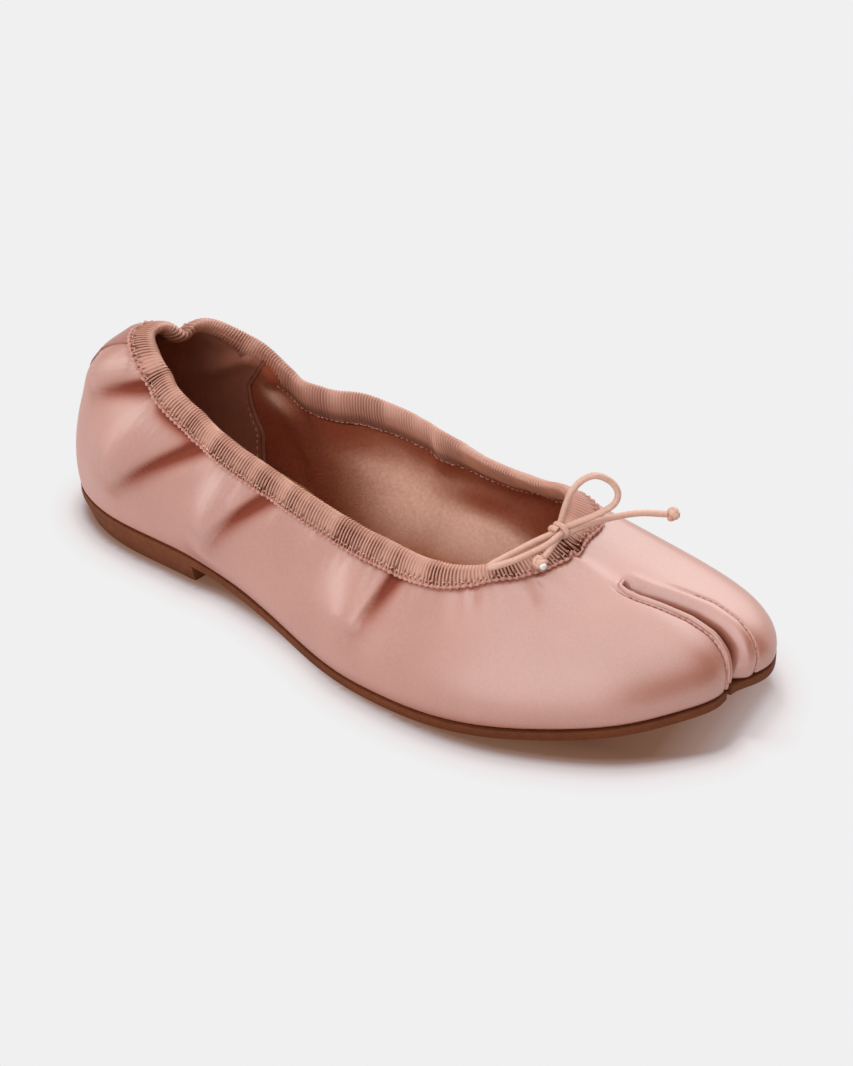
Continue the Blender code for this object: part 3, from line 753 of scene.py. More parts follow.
def makeCamera():
    data = bpy.data.cameras.new("camera")
    data.lens, data.sensor_width = shot["lens"], shot["sensor"]
    data.clip_start, data.clip_end = 0.05, 20
    camera = linked("camera", data)
    eye, target = (Vector(placed(shot[key])) for key in ("from", "towards"))
    forward = (target - eye).normalized()
    right = forward.cross(Vector((0, 0, 1))).normalized()
    roll = math.radians(shot["roll"])
    tilted = right.cross(forward) * math.cos(roll) + right * math.sin(roll)
    turn = Matrix((forward.cross(tilted), tilted, -forward)).transposed()
    camera.matrix_world = Matrix.Translation(eye) @ turn.to_4x4()
    bpy.context.scene.camera = camera


studio = {
    # a lamp: strength, angle, direction the light comes from, colour
    "key": (0.05, 40.0, (0.02, 0.70, 0.70), (1.0, 1.0, 1.0)),
    # the room: its plain brightness, then soft patches as (azimuth, elevation, full to, gone by, amount)
    "room": 0.68, "roomLeast": 0.02, "roomColour": (1.0, 0.985, 0.97),
    "patches": (
        (91.0, 29.0, 16.0, 33.0, 1.85),      # the large soft box behind the shoe
        (75.0, 70.0, 16.0, 36.0, 1.22),      # its upper part
        (-64.0, 56.0, 16.0, 34.0, 1.42),     # a second box, on the near side
        (-81.0, 15.0, 12.0, 30.0, 1.50),     # its glow on the near wall
        (-153.0, 22.0, 9.0, 29.0, 1.20),     # a window past the heel
        (-12.0, 14.0, 44.0, 56.0, -0.78),    # the dark side of the room, past the toe
        (-42.0, 8.0, 22.0, 33.0, -0.75),
    ),
    "backdrop": (5500.0, 3500.0, 48),        # radius, height, sides
    "floorHalf": 6000.0, "floorStep": 1.25, "floorX": (-40.0, 290.0), "floorY": (-90.0, 90.0),
    # its shadow: how far it slips from under the sole, how much further it reaches at the toe, from x to x,
    # and its colour at each distance from the sole's outline, all in mm
    "shadowShift": (0.8, -1.6), "toeReach": 3.8, "toeFrom": (120.0, 200.0), "archIn": 1.8,
    # the light that comes in under the springing toe: x, and the shadow's least distance there
    "toeLight": ((200.0, 214.0, 222.0, 230.0, 238.0, 244.0, 250.0),
                 (-11.0, -6.0, -3.2, -1.6, -0.6, 2.4, 6.5)),
    "shadow": ((-11.0, (0.12, 0.05, 0.03)), (-3.5, (0.19, 0.095, 0.06)), (-1.5, (0.29, 0.185, 0.155)),
               (0.0, (0.46, 0.38, 0.37)), (1.2, (0.60, 0.53, 0.53)), (3.0, (0.71, 0.64, 0.64)),
               (4.5, (0.80, 0.73, 0.735)), (6.5, (0.845, 0.80, 0.805)), (12.0, (0.871, 0.871, 0.871))),
}


def sunLight(name):
    strength, angle, towards, colour = studio[name]
    data = bpy.data.lights.new(name, "SUN")
    data.energy, data.angle, data.color = strength, math.radians(angle), colour
    linked(name, data).rotation_euler = Vector(towards).to_track_quat("Z", "Y").to_euler()


def glowing(name, **values):
    # a material for the stage that shines by itself and takes no light
    material, tree, shader = newMaterial(name)
    setShader(shader, Base_Color=(0.0, 0.0, 0.0, 1), Specular_IOR_Level=0.0, Emission_Strength=1.0, **values)
    return material, tree, shader


def floorMaterial():
    # a plain bright sweep with the shoe's soft, warm shadow
    material, tree, shader = glowing("pale floor", Roughness=0.9)
    openness = addNode(tree, "ShaderNodeAttribute", attribute_name="open").outputs["Fac"]
    least, most = studio["shadow"][0][0], studio["shadow"][-1][0]
    stops = [((away - least) / (most - least), colour) for away, colour in studio["shadow"]]
    wire(tree, (toneRamp(tree, openness, stops), shader.inputs["Emission Color"]))
    return material


def makeFloor():
    # a sheet with a close grid round the shoe, which carries the distance from the sole's outline
    far, step = studio["floorHalf"], studio["floorStep"]
    lines = [np.concatenate([[-far], np.arange(first, last, step), [far]])
             for first, last in (studio["floorX"], studio["floorY"])]
    x, y = (a.ravel() for a in np.meshgrid(*lines, indexing="ij"))
    outline = closedSpline([row[:2] for row in sections], np.linspace(0, around, 600, endpoint=False))
    ahead = unit(np.roll(outline, -1, 0) - outline)
    places = np.column_stack([x, y]) - studio["shadowShift"]
    apart = np.zeros(len(places))
    for part in np.array_split(np.arange(len(places)), 40):
        offset = places[part][:, None] - outline[None]
        reach = np.linalg.norm(offset, axis=2)
        best = np.argmin(reach, axis=1)
        nearest, line = offset[np.arange(len(part)), best], ahead[best]
        apart[part] = reach.min(axis=1) * np.sign(line[:, 1] * nearest[:, 0] - line[:, 0] * nearest[:, 1])
    # under the springing toe it is darker and reaches further out, and less so under the arch
    apart -= studio["toeReach"] * smoothStep(*studio["toeFrom"], x) * (1 - smoothStep(-1.0, 9.0, y))
    apart += studio["archIn"] * smoothStep(56.0, 74.0, x) * smoothStep(128.0, 104.0, x)
    apart = np.maximum(apart, np.interp(x, *studio["toeLight"]))
    least, most = studio["shadow"][0][0], studio["shadow"][-1][0]
    floor = meshObject("floor", np.column_stack([x, y, np.zeros(len(x))]),
                       gridFaces(len(lines[0]), len(lines[1]), closed=False), floorMaterial(), smooth=False)
    paint(floor, np.clip((apart - least) / (most - least), 0, 1), "open")
    return floor


def makeBackdrop():
    # a pale wall far round the floor, for the eye alone: it gives no light and no reflection
    radius, high, sides = studio["backdrop"]
    angle = np.arange(sides) / sides * 2 * math.pi
    ring = np.column_stack([radius * np.cos(angle), radius * np.sin(angle), np.zeros(sides)])
    faces = [(k, k + sides, (k + 1) % sides + sides, (k + 1) % sides) for k in range(sides)]
    material = glowing("pale wall", Emission_Color=(*studio["shadow"][-1][1], 1))[0]
    wall = meshObject("backdrop", np.vstack([ring, ring + (0, 0, high)]), faces, material)
    wall.visible_diffuse = wall.visible_glossy = wall.visible_shadow = False
    return wall


def makeRoom():
    world = bpy.data.worlds.new("studio")
    world.use_nodes = True
    tree = world.node_tree
    background = tree.nodes["Background"]
    background.inputs[0].default_value = (*studio["roomColour"], 1)
    place = addNode(tree, "ShaderNodeTexCoord")
    level = studio["room"]
    for azimuth, elevation, full, gone, amount in studio["patches"]:
        a, e = math.radians(azimuth), math.radians(elevation)
        dot = addNode(tree, "ShaderNodeVectorMath", operation="DOT_PRODUCT")
        dot.inputs[1].default_value = (math.cos(e) * math.cos(a), math.cos(e) * math.sin(a), math.sin(e))
        patch = addNode(tree, "ShaderNodeMapRange", interpolation_type="SMOOTHSTEP")
        patch.inputs["From Min"].default_value = math.cos(math.radians(gone))
        patch.inputs["From Max"].default_value = math.cos(math.radians(full))
        wire(tree, (place.outputs["Object"], dot.inputs[0]), (dot.outputs["Value"], patch.inputs["Value"]))
        level = mathNode(tree, "MULTIPLY_ADD", patch.outputs[0], amount, level)
    wire(tree, (mathNode(tree, "MAXIMUM", level, studio["roomLeast"]), background.inputs[1]))
    return world


def makeStudio():
    makeFloor()
    makeBackdrop()
    bpy.context.scene.world = makeRoom()
    sunLight("key")
    bpy.context.scene.view_settings.view_transform = "Standard"


makeCamera()
makeStudio()
print("camera and studio ready")


bow = {
    "diameter": 2.0, "sides": 12,
    "step": 0.5,              # mm between the rings of a tube
    # the knot's wrap: where it is, its axis, its turns, radius and thickness, and half its width
    "knotAt": (176.9, 0.2, 48.6), "knotAlong": (0.30, 0.92, 0.20), "knotTurns": 1.35, "knotRadius": 1.9,
    "wrapThick": 0.95, "wrapHalf": 1.3,
    # each cord ends in a small overhand knot, this far past its end
    "tipAt": 1.6, "tipSize": 1.5, "tipThick": 0.85,
    "coreTowards": (0.80, -0.55, 0.05),      # where the white core of the outer end looks out of its knot
    "outer": [(177.6, 1.6, 49.2), (176.4, -0.5, 48.6), (174.8, -2.9, 48.2), (171.6, -7.8, 47.3),
              (167.6, -14.3, 45.8), (165.2, -18.4, 44.9), (165.0, -20.2, 45.0), (166.8, -20.3, 45.9),
              (171.2, -16.2, 47.1), (174.9, -10.8, 48.0), (177.2, -6.2, 48.7), (178.0, -2.6, 49.2),
              (178.0, 0.2, 48.6), (177.9, -2.2, 48.1), (177.9, -5.4, 47.7), (177.9, -8.6, 47.2),
              (177.8, -11.2, 46.7)],
    "inner": [(176.0, -1.4, 48.2), (176.2, 0.8, 48.5), (176.4, 2.1, 50.9), (177.1, 3.5, 55.9),
              (178.2, 5.3, 60.4), (180.4, 8.1, 63.6), (183.6, 10.6, 64.5), (187.3, 12.6, 62.1),
              (189.5, 12.5, 58.9), (189.0, 10.7, 55.8), (185.4, 7.7, 52.9), (180.9, 4.4, 50.6),
              (177.9, 1.4, 49.2), (176.6, -0.4, 48.2), (177.8, -0.2, 47.7), (179.6, 2.3, 48.0),
              (182.9, 6.8, 48.8), (187.6, 12.3, 49.3), (193.8, 18.1, 49.4), (200.8, 22.6, 48.6)],
}


def smoothRoute(route, step):
    # an even line through a few points, and its length
    route = np.array(route, float)
    padded = np.vstack([2 * route[0] - route[1], route, 2 * route[-1] - route[-2]])
    t = np.linspace(0, 1, 16, endpoint=False)[:, None]
    fine = []
    for i in range(1, len(padded) - 2):
        a, b, c, d = padded[i - 1:i + 3]
        fine.append(0.5 * (2 * b + (c - a) * t + (2 * a - 5 * b + 4 * c - d) * t * t
                           + (3 * b - a - 3 * c + d) * t ** 3))
    fine = np.vstack(fine + [route[-1:]])
    run = runOf(fine)
    steps = np.linspace(0, run[-1], max(3, round(run[-1] / step)) + 1)
    return np.column_stack([np.interp(steps, run, fine[:, k]) for k in range(3)]), run[-1]


def tube(points, radius, sides, closed=False):
    # rings carried along the line without twist; radius is one number or one for each point
    points = np.asarray(points, float)
    count = len(points)
    radius = np.broadcast_to(np.asarray(radius, float), (count,))
    ahead = unit(np.roll(points, -1, 0) - np.roll(points, 1, 0) if closed else np.gradient(points, axis=0))
    side = np.cross(ahead[0], (0.3, 0.2, 1.0))
    side /= np.linalg.norm(side)
    carried = []
    for way in ahead:
        side = side - way * np.dot(side, way)
        side /= np.linalg.norm(side)
        carried.append(side)
    side = np.array(carried)
    other = np.cross(ahead, side)
    angle = 2 * math.pi * np.arange(sides) / sides
    rings = points[:, None] + radius[:, None, None] * (
        side[:, None] * np.cos(angle)[None, :, None] + other[:, None] * np.sin(angle)[None, :, None])
    faces = gridFaces(count, sides, closed, rolled=True, flipped=True)
    if not closed:
        faces.append(tuple(range(sides - 1, -1, -1)))
        faces.append(tuple((count - 1) * sides + j for j in range(sides)))
    uv = np.stack([np.repeat(runOf(points)[:, None], sides, 1),
                   np.repeat((angle * radius.mean())[None], count, 0)], -1).reshape(-1, 2) * mm
    return rings.reshape(-1, 3).tolist(), faces, uv


def rope(name, slot, material, *shape, **more):
    v, f, uv = tube(*shape, **more)
    return finished(meshObject(name, v, f, material, uv), slot)


def joined(parts):
    vertices, faces, uvs = [], [], []
    for v, f, uv in parts:
        faces += [tuple(len(vertices) + i for i in face) for face in f]
        vertices += list(v)
        uvs.append(uv)
    return vertices, faces, np.vstack(uvs)


def knotLine(centre, size, turn):
    # a trefoil, the shape of an overhand knot pulled small
    t = np.linspace(0, 2 * math.pi, 48, endpoint=False)
    line = np.column_stack([(np.sin(t) + 2 * np.sin(2 * t)) / 3, (np.cos(t) - 2 * np.cos(2 * t)) / 3,
                            -np.sin(3 * t) * 0.55]) * size
    return np.array([turn @ Vector(p) for p in line]) + np.array(centre)


def makeWrap():
    # the knot is one slanting turn and a half round the strands
    axis = Vector(bow["knotAlong"]).normalized()
    sideways = axis.cross(Vector((0, 0, 1))).normalized()
    upwards = sideways.cross(axis)
    half, t = bow["wrapHalf"], np.linspace(0, 1, 70)
    angle = t * bow["knotTurns"] * 2 * math.pi + 1.2
    wrap = [Vector(bow["knotAt"]) + axis * float(-half + 2 * half * s + 0.5 * math.cos(a))
            + (sideways * math.cos(a) * 1.15 + upwards * math.sin(a)) * bow["knotRadius"]
            for s, a in zip(t, angle)]
    knot = rope("bow_wrap", "bow_cord", cordCloth, [tuple(p) for p in wrap], bow["wrapThick"], bow["sides"])
    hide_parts("bow_knot")
    return knot


def makeTip(side, line):
    # the overhand knot at a cord's end, with the stub of cord in it
    ahead = Vector(line[-1] - line[-4]).normalized()
    way = np.array(ahead)
    centre = line[-1] + way * bow["tipAt"]
    route = knotLine(centre, bow["tipSize"], ahead.to_track_quat("Z", "Y"))
    knot = tube(route, bow["tipThick"], 8, closed=True)
    stub = tube([tuple(centre + way * s) for s in (-1.4, 0.0, 1.2, 2.0)], [1.0, 0.9, 0.95, 0.9], 10)
    v, f, uv = joined([knot, stub])
    node = "bow_tip_" + side
    tip = finished(meshObject(node + "_knot", v, f, cordCloth, uv), "bow_cord", node)
    tip.visible_glossy = False
    if side == "outer":
        towards = np.array(bow["coreTowards"]) / np.linalg.norm(bow["coreTowards"])
        core = [tuple(centre + towards * s) for s in (0.4, 2.1, 2.55, 2.7)]
        rope("bow_tip_core", "bow_cord", whiteCore, core, [1.05, 1.02, 0.92, 0.6], 12)
    return tip


def makeBow():
    sides = ("outer", "inner")
    cords = {}
    for side in sides:
        line, length = smoothRoute(bow[side], bow["step"])
        v, f, uv = tube(line, bow["diameter"] / 2, bow["sides"])
        cords[side] = meshObject("bow_cord_" + side, v, f, cordCloth, uv), line, length
    knot = makeWrap()
    tips = {side: makeTip(side, cords[side][1]) for side in sides}
    for side in sides:
        obj, line, length = cords[side]
        obj = finished(obj, "bow_cord", "bow_loop_" + side, "bow_end_" + side)
        obj.visible_glossy = False


makeBow()
print("bow tied")


stitching = {
    # mm between them, their length, thickness and arch, how far out they lie, the smallest's share, seed
    "outer_topstitch": (1.9, 1.35, 0.34, 0.12, 0.02, 0.88, 5),
    "inner_topstitch": (1.9, 1.35, 0.34, 0.12, 0.02, 0.88, 6),
    "inner_lining_stitches": (2.6, 1.5, 0.32, 0.12, 0.42, 0.88, 9),
    "outer_lining_stitches": (2.6, 1.5, 0.32, 0.12, 0.42, 0.88, 10),
    "casing_inside_stitches": (2.0, 1.3, 0.32, 0.15, 0.1, 0.6, 23),
    "casing_zigzag": (1.55, 1.05, 0.30, 0.15, 0.05, 0.6, 21),
    "insole_stitches": (3.0, 1.9, 0.4, 0.10, 0.0, 0.88, 31),
}


def stitchGroup():
    # one stitch set down on every point, turned along the seam and out from the cloth
    group = bpy.data.node_groups.new("stitch row", "GeometryNodeTree")
    for label, kind in (("Geometry", "Geometry"), ("Stitch", "Object"), ("Thread", "Material"),
                        ("Smallest", "Float"), ("Largest", "Float"), ("Seed", "Int")):
        group.interface.new_socket(label, in_out="INPUT", socket_type="NodeSocket" + kind)
    group.interface.new_socket("Geometry", in_out="OUTPUT", socket_type="NodeSocketGeometry")
    given, out = group.nodes.new("NodeGroupInput").outputs, group.nodes.new("NodeGroupOutput").inputs
    along, outwards = (
        addNode(group, "GeometryNodeInputNamedAttribute", {"Name": name}, data_type="FLOAT_VECTOR")
        for name in ("along", "outwards"))
    first = addNode(group, "FunctionNodeAlignRotationToVector", axis="X")
    second = addNode(group, "FunctionNodeAlignRotationToVector", axis="Z", pivot_axis="X")
    info = addNode(group, "GeometryNodeObjectInfo")
    size = addNode(group, "FunctionNodeRandomValue", data_type="FLOAT")
    least, most = [socket for socket in size.inputs if socket.type == "VALUE"][:2]
    setDown = addNode(group, "GeometryNodeInstanceOnPoints")
    real = addNode(group, "GeometryNodeRealizeInstances")
    dressed = addNode(group, "GeometryNodeSetMaterial")
    wire(group, (along.outputs[0], first.inputs["Vector"]), (first.outputs[0], second.inputs["Rotation"]),
         (outwards.outputs[0], second.inputs["Vector"]), (given["Stitch"], info.inputs["Object"]),
         (given["Smallest"], least), (given["Largest"], most), (given["Seed"], size.inputs["Seed"]),
         (given["Geometry"], setDown.inputs["Points"]),
         (info.outputs["Geometry"], setDown.inputs["Instance"]),
         (second.outputs[0], setDown.inputs["Rotation"]),
         (next(o for o in size.outputs if o.type == "VALUE"), setDown.inputs["Scale"]),
         (setDown.outputs[0], real.inputs[0]), (real.outputs[0], dressed.inputs["Geometry"]),
         (given["Thread"], dressed.inputs["Material"]), (dressed.outputs[0], out[0]))
    return group


stitchRowGroup = stitchGroup()


def stitchRow(name, material, points, along, outwards):
    # one short arched thread for every point, laid along the seam and facing out of the cloth
    length, thick, arch, lift, smallest, seed = stitching[name][1:]
    t = np.linspace(-1, 1, 5)
    line = np.column_stack([t * length / 2, 0 * t, thick * 0.5 + arch * (1 - t ** 2) - thick * 0.9 * t ** 8])
    v, f, uv = tube(line, thick / 2, 6)
    template = bpy.data.meshes.new("stitch")
    template.from_pydata((np.array(v) * mm).tolist(), [], f)
    addUv(template, uv)
    template.shade_smooth()
    stitch = linked("stitch", template)
    mesh = bpy.data.meshes.new(name)
    mesh.from_pydata(placed(points + outwards * lift).tolist(), [], [])
    for label, vectors in (("along", along), ("outwards", outwards)):
        mesh.attributes.new(label, "FLOAT_VECTOR", "POINT").data.foreach_set(
            "vector", np.asarray(vectors, np.float32).ravel())
    row = linked(name, mesh)
    maker = row.modifiers.new("stitches", "NODES")
    maker.node_group = stitchRowGroup
    sockets = {item.name: item.identifier for item in stitchRowGroup.interface.items_tree
               if item.in_out == "INPUT"}
    for label, value in (("Stitch", stitch), ("Thread", material), ("Smallest", smallest),
                         ("Largest", 1.1), ("Seed", seed)):
        maker[sockets[label]] = value
    row = applyModifiers(row)
    bpy.data.objects.remove(stitch)
    return finished(row, "thread")


def seam(name, material, line, outwards):
    # an even row of stitches along a line; outwards is the surface's normal at its points
    run, pitch = runOf(line), stitching[name][0]
    s = np.arange(pitch / 2, run[-1] - pitch / 4, pitch)
    places, along, out = (np.column_stack([np.interp(s, run, a[:, k]) for k in range(3)])
                          for a in (line, np.gradient(line, axis=0), outwards))
    stitchRow(name, material, places, unit(along), unit(out))


casing = {
    "width": 8.2,
    # where it shows less or more on the outside: place (u), half length, mm
    "widths": ((8.6, 1.1, -2.6), (20.8, 0.9, 2.6), (15.2, 1.0, 3.6), (12.5, 1.0, 1.0),
               (12.0, 0.22, -2.3)),                            # between the two bunches under the bow
    "pitch": 0.96,            # mm between the ribs
    "samples": 5,             # rings for each rib
    "ribSmall": 0.05, "ribLarge": 0.38,
    "slant": 0.9,             # how far a rib leans along the topline
    "puff": 0.10,             # how unevenly it puffs out
    # where it is bunched up or lies flat: place (u), half length, how much
    "gathers": ((1.0, 0.35, 0.5), (1.85, 0.3, 0.5), (3.0, 0.3, 0.5), (4.2, 0.3, 0.5), (5.4, 0.25, 0.4),
                (6.1, 0.25, 0.4), (8.8, 0.5, 0.6), (12.0, 1.0, 0.8), (15.2, 0.9, -1.0), (20.6, 0.4, 0.5),
                (22.1, 0.3, 0.6), (24.1, 0.3, 0.6)),
    "gatherWaves": ((13, 0.45), (21, 0.5), (34, 0.35), (55, 0.15)),
    "beads": 1.6, "beadSize": 0.70,          # mm between the beads of its edge, their radius
    # u and half length of the tight pleats under the bow, and of the smooth darker stretch beside it
    "throat": (12.6, 1.35), "innerThroat": (15.2, 1.1), "pleat": 0.75,
    # its section: down the wall (in shares of its width, then mm) and out from it, in mm
    "section": [
        # share  down   out
        (1.00,  0.10,  0.15), (1.00, -0.20,  0.70), (0.90, -0.20,  0.92), (0.75,  0.00,  1.10),
        (0.58,  0.00,  1.22), (0.42,  0.00,  1.28), (0.27,  0.00,  1.25), (0.14,  0.00,  1.08),
        (0.04,  0.00,  0.72), (0.00, -0.30,  0.20), (0.00, -0.45, -0.35), (0.00, -0.35, -0.95),
        (0.00,  0.05, -1.50), (0.00,  0.75, -1.95), (0.00,  1.70, -2.25), (0.00,  2.80, -2.40),
        (0.00,  3.90, -2.40), (0.00,  4.80, -2.20), (0.00,  5.30, -1.85), (0.00,  5.20, -1.55),
        (0.00,  4.50, -1.45), (0.60,  0.00, -0.95), (0.95,  0.00, -0.45),
    ],
    # places in that list: its stitched edge, its inner face, the fold at its lower inner edge with its
    # painted shade, what shows of it, and the needle's holes
    "edgeRow": 1, "innerRows": range(14, 21), "foldRows": range(16, 19), "shownRows": range(1, 18),
    "needleRows": (2, 3),
}


def casingWidth(u):
    # how far the ribbon reaches down the outside at each u
    u = np.mod(u, around)
    return casing["width"] + sum(more * hump(u, place, half) for place, half, more in casing["widths"])


satinPiece = {
    "stretches": ((0, 7, 34), (7, 19, 15), (19, 25, 34)),      # from section, to section, columns in each
    "rows": 68, "splitColumns": 12, "thick": 0.7,
    "hidden": 3.0,            # mm of the satin that stop short of the crest, under the ribbon
    "pleats": 0.16, "pleatFade": 6.0, "pleatEnd": (24.0, 12.0),
    "waves": ((61, 0.5), (83, 0.45), (108, 0.35), (37, 0.4)),
    "smooth": (10.2, 11.5, 15.0, 16.5),      # u of the stretch at the throat with few pleats
    "dip": 1.1, "seam": 0.35,                # how deep it lies beneath the ribbon, and along its edge
    "raised": 0.95,           # mm between the sole and the cloth's edge
    "tuck": ((5.0, 0.9), (3.0, 0.9), (1.4, 0.75), (0.45, 0.3)),      # how it turns in there: inwards, down
    "sideSeam": ((20.76, 0.0), (20.73, 0.16), (20.61, 0.42), (20.29, 0.72), (20.10, 0.94)),
    "seamRadius": 0.22,
    "topstitch": (("outer", 1.0), ("inner", 17.0)),            # how far past the split's start each begins
}


def wavesRound(u, seed, *terms):
    # a sum of seeded waves round the topline, each (count, size)
    s = np.interp(np.mod(u, around), crestU, crestS) / crestS[-1]
    random = np.random.default_rng(seed)
    return sum(size * np.sin(2 * math.pi * (count * s + random.random())) for count, size in terms)


piping = {
    "aside": 1.25, "turn": 0.9,              # mm from the split's line, down its sides and where it turns
    "beyond": 1.3,            # how far above the split's start it turns
    "tail": 8.0,              # how far it runs down the inner lobe
    "radius": 0.85, "sunk": 0.35,
}


def makePiping(points, normals, zoneStart):
    # the rolled edge of the outer lobe, which turns round the split's start
    places = np.array([place for place, walled in splitProfile()])
    aside, turn = piping["aside"], piping["turn"]
    outer, *turning, inner = (zoneStart + int(np.argmin(np.abs(places - a)))
                              for a in (-aside, -turn, 0.0, turn, aside))
    outerPast, innerPast = (points[k, :, 0] - split["start"] for k in (outer, inner))
    centres = points - normals * piping["sunk"]
    top = int(np.argmin(np.abs(outerPast + piping["beyond"])))
    route = [centres[outer, j] for j in range(2, top) if outerPast[j] > 0.2]
    route += [centres[k, top] for k in turning]
    route += [centres[inner, j] for j in range(top, 0, -1) if 0.2 < innerPast[j] < piping["tail"]]
    line, length = smoothRoute(route, 0.5)
    away = length - np.linspace(0, length, len(line))
    radius = piping["radius"] * (0.1 + 0.9 * smoothStep(0.0, piping["tail"], away))
    rope("split_piping", "satin", satin, line, radius, 12)


def makeSatin():
    piece = satinPiece
    u, points, zoneStart = upperGrid(piece["stretches"], piece["rows"], piece["hidden"],
                                     piece["splitColumns"])
    normals = gridNormals(points)
    # painted shade in the creases and painted highlights along the puffs
    tones = {"paintedShade": creaseShade(points, normals),
             "crest": np.clip(foldHeights(points, normals, highlightRows), 0, 1)}
    # pleats fade away under the ribbon's edge and at the throat, and the cloth dips beneath the ribbon
    run = rowRun(points)
    below = run[:, -1:] + piece["hidden"] - run            # mm under the crest
    edge = casingWidth(u[:, -1])[:, None]
    throat = smoothStep(*piece["smooth"][:2], u) * (1 - smoothStep(*piece["smooth"][2:], u))
    size = piece["pleats"] * np.exp(-np.clip(below - edge, 0, None) / piece["pleatFade"]) \
        * smoothStep(*piece["pleatEnd"], below) * (1 - 0.85 * throat)
    sunk = piece["dip"] * smoothStep(0.2, 2.2, edge - below) + piece["seam"] * hump(below, edge, 0.9)
    points = points + normals * (wavesRound(u, 3, *piece["waves"]) * size - sunk)[..., None]
    # it turns in under its lowest edge and leaves a dark line above the sole
    outward = unit(wallNormals(u[:, 0], np.full(len(u), 0.02)) * (1, 1, 0))
    points[..., 2] += piece["raised"] * smoothStep(9.0, 0.0, run)
    tuck = [points[:, 0] - outward * inwards - (0, 0, drop) for inwards, drop in piece["tuck"]]
    makePiping(points, normals, zoneStart)
    seams = []
    for column, (side, later) in zip(seamColumns(), piece["topstitch"]):
        keep = points[zoneStart + column, :, 0] > split["start"] + later
        seams.append((side, points[zoneStart + column][keep], normals[zoneStart + column][keep]))
    points = np.concatenate([np.stack(tuck, 1), points], axis=1)
    columns, rows = points.shape[:2]
    obj = clothSheet("satin_upper", points, satin, piece["thick"], closed=True)
    for name, tone in tones.items():
        paint(obj, np.concatenate([np.zeros((columns, len(tuck))), tone], axis=1), name)
    # the cloth's thickness fades out among the close columns of the split
    thick = obj.vertex_groups.new(name="thick")
    inSplit = range((zoneStart - 8) * rows, (zoneStart + len(splitProfile()) + 8) * rows)
    thick.add([i for i in range(columns * rows) if i not in inSplit], 1.0, "REPLACE")
    obj.modifiers["wall"].vertex_group, obj.modifiers["wall"].thickness_vertex_group = "thick", 0.06
    # the side seam of the inner waist: a thin raised line
    seamU, seamV = np.array(piece["sideSeam"]).T
    along = np.linspace(0.04, 0.94, 60)
    places = np.interp(along, seamV, seamU)
    line = satinWall(places, along) + wallNormals(places, along) * 0.05
    rope("side_seam", "thread", thread, line, piece["seamRadius"], 8)
    for side, line, outwards in seams:
        seam(side + "_topstitch", thread, line, outwards)
    return finished(obj, "satin", "upper")


makeSatin()
print("satin upper made")


heelPatch = {
    "v": (0.44, 0.50, 0.56, 0.63, 0.71, 0.79, 0.88, 0.93),
    "half": (0.02, 0.16, 0.24, 0.31, 0.38, 0.50, 0.69, 0.80),
    "proud": 0.55, "thick": 0.8, "columns": 25, "rows": 34,
    "below": 5.0,             # mm of it that stop short of the crest
}


def makeHeelPatch():
    # a tab of ribbed satin over the back seam
    piece = heelPatch
    rows, columns, bottom = piece["rows"], piece["columns"], piece["v"][0]
    v = np.linspace(bottom, float(vBelowCrest(np.array([0.0]), piece["below"])[0]), rows)[None]
    a = np.linspace(-1, 1, columns)[:, None]
    u = a * np.interp(v, piece["v"], piece["half"])
    v = np.repeat(v, columns, axis=0)
    edge = np.minimum(1 - np.abs(a), (v - bottom) * 3)
    proud = piece["proud"] * (0.35 + 0.65 * smoothStep(0.0, 0.10, edge))
    points = satinWall(u, v) + wallNormals(u, v) * proud[..., None]
    return finished(clothSheet("heel_patch", points, ribbed, piece["thick"]), "satin")


makeHeelPatch()
print("heel patch made")


liningPiece = {
    "columns": 12, "rows": 52, "inside": 1.35, "thick": 0.5,
    "hidden": 2.5,            # mm of it that stop short of the crest
    "waves": ((23, 0.5), (41, 0.4), (67, 0.3)), "crinkle": 0.25,
    # on the big-toe side it sags over the insole like a cushion: how far at each u, and from which v down
    "sagU": (14.2, 15.4, 17.0, 19.0, 20.1, 20.8, 21.8), "sag": (0.0, 13.0, 22.0, 15.5, 6.5, 2.5, 0.0),
    "sagTop": 0.66, "sagBottom": 0.10, "cushion": 1.6,
    # place (u, v), half size, how much paler: patches of painted light, and of painted shade where negative
    "tones": ((19.80, 0.62, 0.40, 0.09, 0.15), (19.18, 0.505, 0.42, 0.075, -0.78),
              (18.60, 0.43, 0.35, 0.08, -0.3), (18.80, 0.26, 0.8, 0.12, 0.30),
              (20.12, 0.70, 0.35, 0.08, 0.34), (20.45, 0.56, 0.30, 0.09, 0.22),
              (21.80, 0.645, 0.24, 0.11, 1.0)),
}


def sagging(u, v, points, normals):
    piece = liningPiece
    flat = normals * (1, 1, 0)
    flat /= np.maximum(np.linalg.norm(flat, axis=-1, keepdims=True), 0.3)
    far = np.interp(u, piece["sagU"], piece["sag"]) * smoothStep(piece["sagTop"], piece["sagBottom"], v)
    points = points - flat * far[..., None]
    least = soleUnderside(points[..., 0]) + shoe["soleThickness"] + shoe["insoleThickness"] + piece["cushion"]
    points[..., 2] += np.clip(least - points[..., 2], 0, None) * smoothStep(0.5, 4.0, far)
    return points


